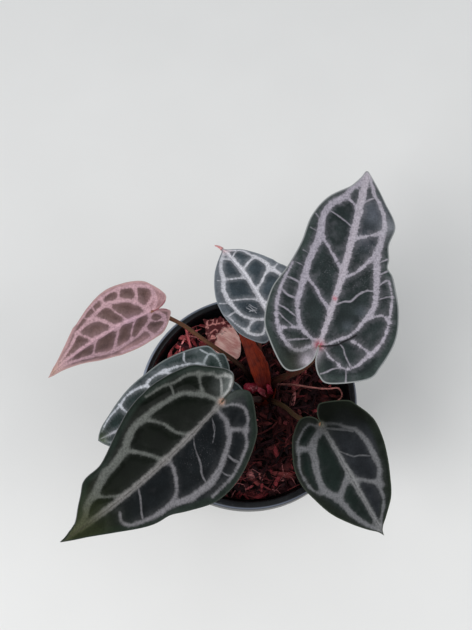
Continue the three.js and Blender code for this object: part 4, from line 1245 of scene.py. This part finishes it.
def drilled(piece, tools):
    """Cuts the tool shapes out of the piece, then removes them."""
    for tool in tools:
        cut = piece.modifiers.new("cut", "BOOLEAN")
        cut.operation, cut.solver, cut.object = "DIFFERENCE", "EXACT", tool
    bpy.context.view_layer.update()
    seen = piece.evaluated_get(bpy.context.evaluated_depsgraph_get())
    mesh = bpy.data.meshes.new_from_object(seen)
    piece.modifiers.clear()
    piece.data = mesh
    for tool in tools:
        bpy.data.objects.remove(tool)


def pot():
    """The nursery pot with its skirted rim and drain holes."""
    r, h, b, w, drop = (POT[key] for key in ("rim_radius", "height", "base_radius", "wall", "skirt_drop"))
    neck, low = r - 2.4, h - drop
    profile = rounded([
        (0.5, 0.9), (b - 5, 0.9), (b - 4.4, 0), (b - 0.8, 0), (b, 0.8), (neck, low - 0.4), (r - 0.5, low),
        (r, low + 0.7), (r, h - 0.8), (r - 0.7, h), (neck - w + 0.6, h), (neck - w, h - 0.7),
        (neck - w - 0.1, low), (b - w, w + 1), (0.5, w + 1),
    ], 0.6)
    points, faces = revolve(profile, 144)
    piece = make_piece("pot", points, faces, [pot_material()])
    tools = []
    for k in range(POT["drain_holes"]):
        a = (k + 0.5) / POT["drain_holes"] * TAU
        centre = level_way(a) * POT["drain_ring"]
        hole = tube(centre + np.array([(0, 0, -1.0), (0, 0, 4.0)]), POT["drain_radius"], 28)
        tools.append(make_piece(f"hole_{k}", *hole, []))
    drilled(piece, tools)
    stand_for(piece, "nursery_pot")


# Potting mix.

TINTS = [(70, 26, 32), (84, 30, 35), (54, 21, 28), (98, 38, 40), (116, 48, 49), (76, 29, 38),
         (134, 60, 60), (44, 16, 23)]
# The pale tints are for the pieces that are painted as lit.
PALE_TINTS = [(168, 80, 84), (148, 56, 62), (208, 130, 130)]
MOUND = dict(x=-28, y=32, height=8, radius=17)  # where the mix is heaped up at the back left
GOLDEN_ANGLE = 2.39996
CHIP_REACH, FIBRE_REACH, BED_RADIUS = 45, 44, 45.2
FIBRES = 560


def mix_height(x, y):
    """The mix stands a little higher towards the front, and is heaped up at the back left."""
    off = ((x - MOUND["x"]) ** 2 + (y - MOUND["y"]) ** 2) / MOUND["radius"] ** 2
    waves = 0.9 * np.sin(x / 9) * np.cos(y / 8)
    return MIX_LEVEL + 1.6 - 0.045 * y + waves + MOUND["height"] * np.exp(-off)


def keep_inside(points):
    """Pulls points in to the pot's inner wall."""
    slope = (POT["rim_radius"] - 3.9 - POT["base_radius"]) / (POT["height"] - POT["skirt_drop"])
    limit = POT["base_radius"] - POT["wall"] - 0.5 + slope * points[:, 2]
    r = np.hypot(points[:, 0], points[:, 1])
    points[:, :2] *= np.minimum(1, limit / np.maximum(r, 1e-6))[:, None]
    return points


def spin(x, y, z):
    """The matrix that turns about X, then Y, then Z, by angles in radians."""
    (cx, cy, cz), (sx, sy, sz) = np.cos((x, y, z)), np.sin((x, y, z))
    about_x = np.array([(1, 0, 0), (0, cx, -sx), (0, sx, cx)])
    about_y = np.array([(cy, 0, sy), (0, 1, 0), (-sy, 0, cy)])
    about_z = np.array([(cz, -sz, 0), (sz, cz, 0), (0, 0, 1)])
    return about_z @ about_y @ about_x


def splinter(draw, long, wide, thick, rings, sides):
    """A split, fibrous piece of husk with torn ends."""
    s = np.linspace(-1, 1, rings)
    turn = full_turn(sides)
    box = 1 / np.maximum(np.abs(np.cos(turn)), np.abs(np.sin(turn))) ** 0.75
    taper = (1 - np.abs(s) ** 4 * draw.uniform(0.25, 0.7)) * (1 + 0.25 * draw.uniform(-1, 1) * s)
    rough = 1 + draw.normal(0, 0.09, (1, sides)) + draw.normal(0, 0.06, (rings, sides))
    y = wide / 2 * box * np.cos(turn) * taper[:, None] * rough
    z = thick / 2 * box * np.sin(turn) * taper[:, None] * rough
    x = long / 2 * np.broadcast_to(s[:, None], (rings, sides)).copy()
    x[0] += draw.uniform(-0.12, 0.08, sides) * long
    x[-1] += draw.uniform(-0.08, 0.12, sides) * long
    z += draw.uniform(-0.08, 0.08) * long * s[:, None] ** 2
    skin = np.stack([x, y, z], -1).reshape(-1, 3)
    ends = np.array([skin[:sides].mean(0), skin[-sides:].mean(0)])
    ends[:, 0] *= 0.86
    return np.vstack([skin, ends]), ring_faces(rings, sides)


def husk_tint(draw, x, y):
    """Painted light: pale, lit husk at the back left, a few lit pieces at the front, and painted shade in
    the middle.
    """
    # `dry` measures the painted light at the back left and `front` the painted light at the front; pieces
    # drawn as lit take the pale tints and are painted brighter still.
    dry, front = smoothstep(-10, -24, x) * smoothstep(-2, 10, y), smoothstep(-20, -32, y)
    lit = draw.random() < 0.05 + 0.65 * dry + 0.25 * front
    tints = PALE_TINTS if lit else TINTS
    light = 0.6 + 0.8 * dry + (0.4 if lit else 0.15 * front)
    red, green, blue, _ = linear(tints[draw.integers(len(tints))])
    return (light * red, light * green, light * blue, 1)


def husk_pieces():
    """Chunks, splinters and crumbs, spread evenly on a spiral and piled in layers."""
    draw = np.random.default_rng(31)
    heap = Heap()
    kinds = [  # count, length, width, thickness, rings, sides, lowest and highest place, tilt
        (100, (7, 13), (4, 7), (2.5, 4.5), 9, 12, (-3.6, -1.2), 26),
        (180, (6, 13), (1.4, 3.2), (0.9, 2.0), 9, 8, (-1.8, 1.4), 32),
        (330, (5, 15), (0.5, 1.4), (0.4, 1.0), 9, 6, (-1.2, 2.0), 34),
        (260, (2, 4.5), (1.0, 2.4), (0.8, 1.8), 5, 7, (-1.2, 1.2), 50),
    ]
    for count, long, wide, thick, rings, sides, level, tilt in kinds:
        for k in range(count):
            r, a = CHIP_REACH * math.sqrt((k + 0.5) / count), k * GOLDEN_ANGLE
            x, y = r * math.cos(a) + draw.uniform(-3, 3), r * math.sin(a) + draw.uniform(-3, 3)
            size = draw.uniform(*long)
            local, faces = splinter(draw, size, draw.uniform(*wide), draw.uniform(*thick), rings, sides)
            heading, (lean, roll) = draw.uniform(0, TAU), np.radians(draw.uniform(-tilt, tilt, 2))
            points = local @ spin(roll, lean, heading).T
            points += (x, y, mix_height(x, y) + draw.uniform(*level))
            tint = husk_tint(draw, x, y)
            heap.add(keep_inside(points), faces, grain=local + draw.uniform(0, 90, 3), tint=tint)
    return heap


def husk_bed():
    """The rough surface of the mix under its loose pieces, and its sides down to the pot's floor."""
    rings, sides = 60, 120
    foot_radius, low = 36.2, 2.6  # just inside the pot's wall and just above its floor
    r = np.linspace(0.01, 1, rings)
    turn = full_turn(sides)
    x, y = (BED_RADIUS * r[:, None] * f(turn) for f in (np.cos, np.sin))
    spots = np.stack([x, y, 0 * x], -1)
    z = mix_height(x, y) - 2.4 + 1.3 * wobble(spots, 3.4) + 0.6 * wobble(spots, 1.2)
    top = np.stack([x, y, z], -1)
    foot = np.stack([foot_radius * np.cos(turn), foot_radius * np.sin(turn), np.full(sides, low)], -1)
    points = np.vstack([top.reshape(-1, 3), foot, (0, 0, MIX_LEVEL - 1), (0, 0, low)])
    heap = Heap()
    # Painted shade: the bed is tinted far darker than the chips, for the shade in the gaps between them.
    heap.add(points, ring_faces(rings + 1, sides), grain=points, tint=linear((26, 11, 12)))
    return heap


def husk_fibres():
    """Loose curved fibres that lie over the chips."""
    draw = np.random.default_rng(47)
    heap = Heap()
    for k in range(FIBRES):
        r, a = FIBRE_REACH * math.sqrt((k + 0.5) / FIBRES), k * GOLDEN_ANGLE + 1
        centre = np.array([r * math.cos(a), r * math.sin(a)]) + draw.uniform(-2.5, 2.5, 2)
        if centre[0] < -12 and centre[1] > 2 and draw.random() < 0.7:
            continue
        heading, long = draw.uniform(0, TAU), draw.uniform(4, 13)
        way = level_way(heading)[:2]
        side = np.array([-way[1], way[0]])
        bow = draw.uniform(-0.3, 0.3, 2) * long
        flat = [centre - way * long / 2, centre - way * long / 5 + side * bow[0],
                centre + way * long / 5 + side * bow[1], centre + way * long / 2]
        base, crest = draw.uniform(-0.4, 1.0), draw.uniform(0.6, 2.6, 2)
        rise = base + np.array([-1.2, *crest, -1.2])
        route = [(*p, mix_height(*p) + dz) for p, dz in zip(flat, rise)]
        line = even_line(route, 9)
        points, faces = tube(line, draw.uniform(0.1, 0.26) * np.linspace(1, 0.5, 9), 5)
        tint = [0.7 * c for c in husk_tint(draw, *centre)]
        heap.add(keep_inside(points), faces, grain=points + draw.uniform(0, 50, 3), tint=tint)
    return heap


def potting_mix():
    """The husk mix: its bed, with loose chips and fibres over it."""
    material = husk_material("husk")
    for name, pile in (("husk_bed", husk_bed), ("husk_chips", husk_pieces), ("husk_fibres", husk_fibres)):
        stand_for(pile().piece(name, material), "potting_mix")


def flake_material():
    """Pale salmon skin on one end; the crumpled, torn end is painted dark as shade, with painted highlights
    along its creases.
    """
    s = Shader("flake")
    streak = s.noise(1.1, 4.0, s.grain((0.2, 1.0, 1.0)), 0.6)
    tear = s.plus(s.number("torn"), s.about_zero(s.noise(2.6, 4.0), 1.6))
    look = s.mix(s.ramp(streak, 0.3, 0.7), linear((220, 148, 141)), linear((255, 214, 205)))
    # Painted shade: the crumpled, torn end is darkened.
    look = s.over(look, (92, 28, 33), s.ramp(tear, 0.35, 0.65))
    creases = s.cell_edges(1 / 0.36, s.grain((1.0, 0.7, 1.0)))
    crease = s.times(s.ramp(creases, 0.02, 0.16, 1.0, 0.0), s.ramp(s.noise(2.2, 3.0), 0.42, 0.6))
    # Painted highlights: pale lines along the creases of the torn end.
    look = s.over(look, (236, 158, 152), s.times(s.ramp(tear, 0.45, 0.7), crease))
    s.relief(streak, 0.5, 0.3)
    return s.finish(look, 0.6, 0.35)


def large_chip():
    """A salmon-coloured flake of husk, torn round its edge and split in layers."""
    outline = [(-11, 3.5), (-6, 8.5), (1, 8), (7.5, 4.5), (11.5, -2.5), (8.5, -7), (1, -7), (-5, -3.5)]
    thick = 3.2
    closed = smooth_line([*outline, outline[0]], 18)[:-1]
    rings, sides = 30, len(closed)
    share = np.r_[np.linspace(0.03, 1, rings), np.linspace(1, 0.03, rings)][:, None]
    face = np.r_[np.ones(rings), -np.ones(rings)][:, None]
    flat = closed[None] * share[..., None]
    spots = np.dstack([flat, face * np.full(sides, 7.0)])
    torn = 1 - smoothstep(-4, 4, flat[..., 0] + 3 * wobble(spots, 4))
    flat = flat * (1 + (0.04 + 0.08 * torn) * wobble(spots, 1.8) * (share > 0.6))[..., None]
    folds = wobble(np.stack([flat[..., 0] * 0.35, flat[..., 1], spots[..., 2]], -1), 1.6)
    steps = np.round(2.2 * wobble(spots * (0.6, 1, 1) + 4, 3.2)) / 2.2
    height = face * thick / 2 * (1 - 0.5 * share**5) + 0.12 * folds + torn * (0.9 * steps + 0.5 * folds)
    points = np.vstack([np.dstack([flat, height]).reshape(-1, 3),
                        (0, 0, height[0].mean()), (0, 0, height[-1].mean())])
    values = {"grain": points, "torn": np.r_[torn.ravel(), torn[0].mean(), torn[-1].mean()]}
    placed = points @ spin(*np.radians((14, 10, -28))).T + (-12.5, 30.5, 80.5)
    piece = make_piece("pale_husk_flake", placed, ring_faces(2 * rings, sides), [flake_material()], values)
    stand_for(piece, "large_husk_chip")


def surface_root():
    """The thin root that lies over the mix to the right of the crown."""
    count, sides, radius = 90, 12, 0.46
    line = even_line([(14, 10, 74), (21.3, 8.6, 78.6), (29, 7, 80), (37, 6, 80.8), (42.5, 6.2, 80.6),
                      (44, 3, 79.6), (41, 0.5, 77), (38.5, 0, 73)], count)
    s, turn = np.linspace(0, 1, count)[:, None], full_turn(sides)[None, :]
    rough = 1 + 0.16 * wobble(grid_of(np.cos(turn), np.sin(turn), s * 30), 0.9)
    points, faces = tube(line, radius * (1.1 - 0.3 * s) * rough, sides)
    heap = Heap()
    heap.add(points, faces, grain=points, tint=linear((176, 112, 106)))
    stand_for(heap.piece("root_strand", husk_material("root_skin", 0.7, 0.2)), "surface_root")


# Room, lights and camera.

def floor():
    """A wide pale floor, which belongs to the picture and not to the plant."""
    material = Shader("floor")
    look = material.mix(material.noise(60, 2.0), linear((222, 221, 219)), linear((228, 227, 225)))
    size = 9000
    piece = make_piece("floor", [(-size, -size, 0), (size, -size, 0), (size, size, 0), (-size, size, 0)],
                       [[0, 1, 2, 3]], [material.finish(look, 0.9, 0.1)])


def lamp(name, at, size, watts):
    """A soft square light that faces the plant."""
    light = bpy.data.lights.new(name, "AREA")
    light.shape, light.size, light.energy = "SQUARE", size, watts
    holder = bpy.data.objects.new(name, light)
    holder.location = at
    holder.rotation_euler = (Vector((0, 0, 0.1)) - holder.location).to_track_quat("-Z", "Y").to_euler()
    bpy.context.scene.collection.objects.link(holder)


def studio():
    """Soft, plain light from two lamps and a pale sky."""
    floor()
    lamp("key", (-0.7, -0.5, 1.0), 0.7, 11)
    lamp("fill", (0.9, -0.3, 0.8), 0.9, 6)
    world = bpy.data.worlds.new("studio")
    world.use_nodes = True
    world.node_tree.nodes["Background"].inputs[0].default_value = (0.9, 0.95, 1.0, 1)
    world.node_tree.nodes["Background"].inputs[1].default_value = 0.45
    bpy.context.scene.world = world
    bpy.context.scene.view_settings.view_transform = "Standard"


def camera():
    """The photograph's point of view."""
    lens = bpy.data.cameras.new("camera")
    lens.lens, lens.sensor_width = 48, 36
    holder = bpy.data.objects.new("camera", lens)
    holder.location = (-0.0055, -0.0957, 0.4609)
    holder.rotation_euler = (math.radians(20), 0, 0)
    bpy.context.scene.collection.objects.link(holder)
    bpy.context.scene.camera = holder


camera()
studio()
pot()
potting_mix()
large_chip()
surface_root()
crown()
bud()
sheath()
for leaf_name, leaf_shape in LEAVES.items():
    blade(leaf_name, leaf_shape, TONES[leaf_name])
    petiole(leaf_name, leaf_shape)
drip_tip()
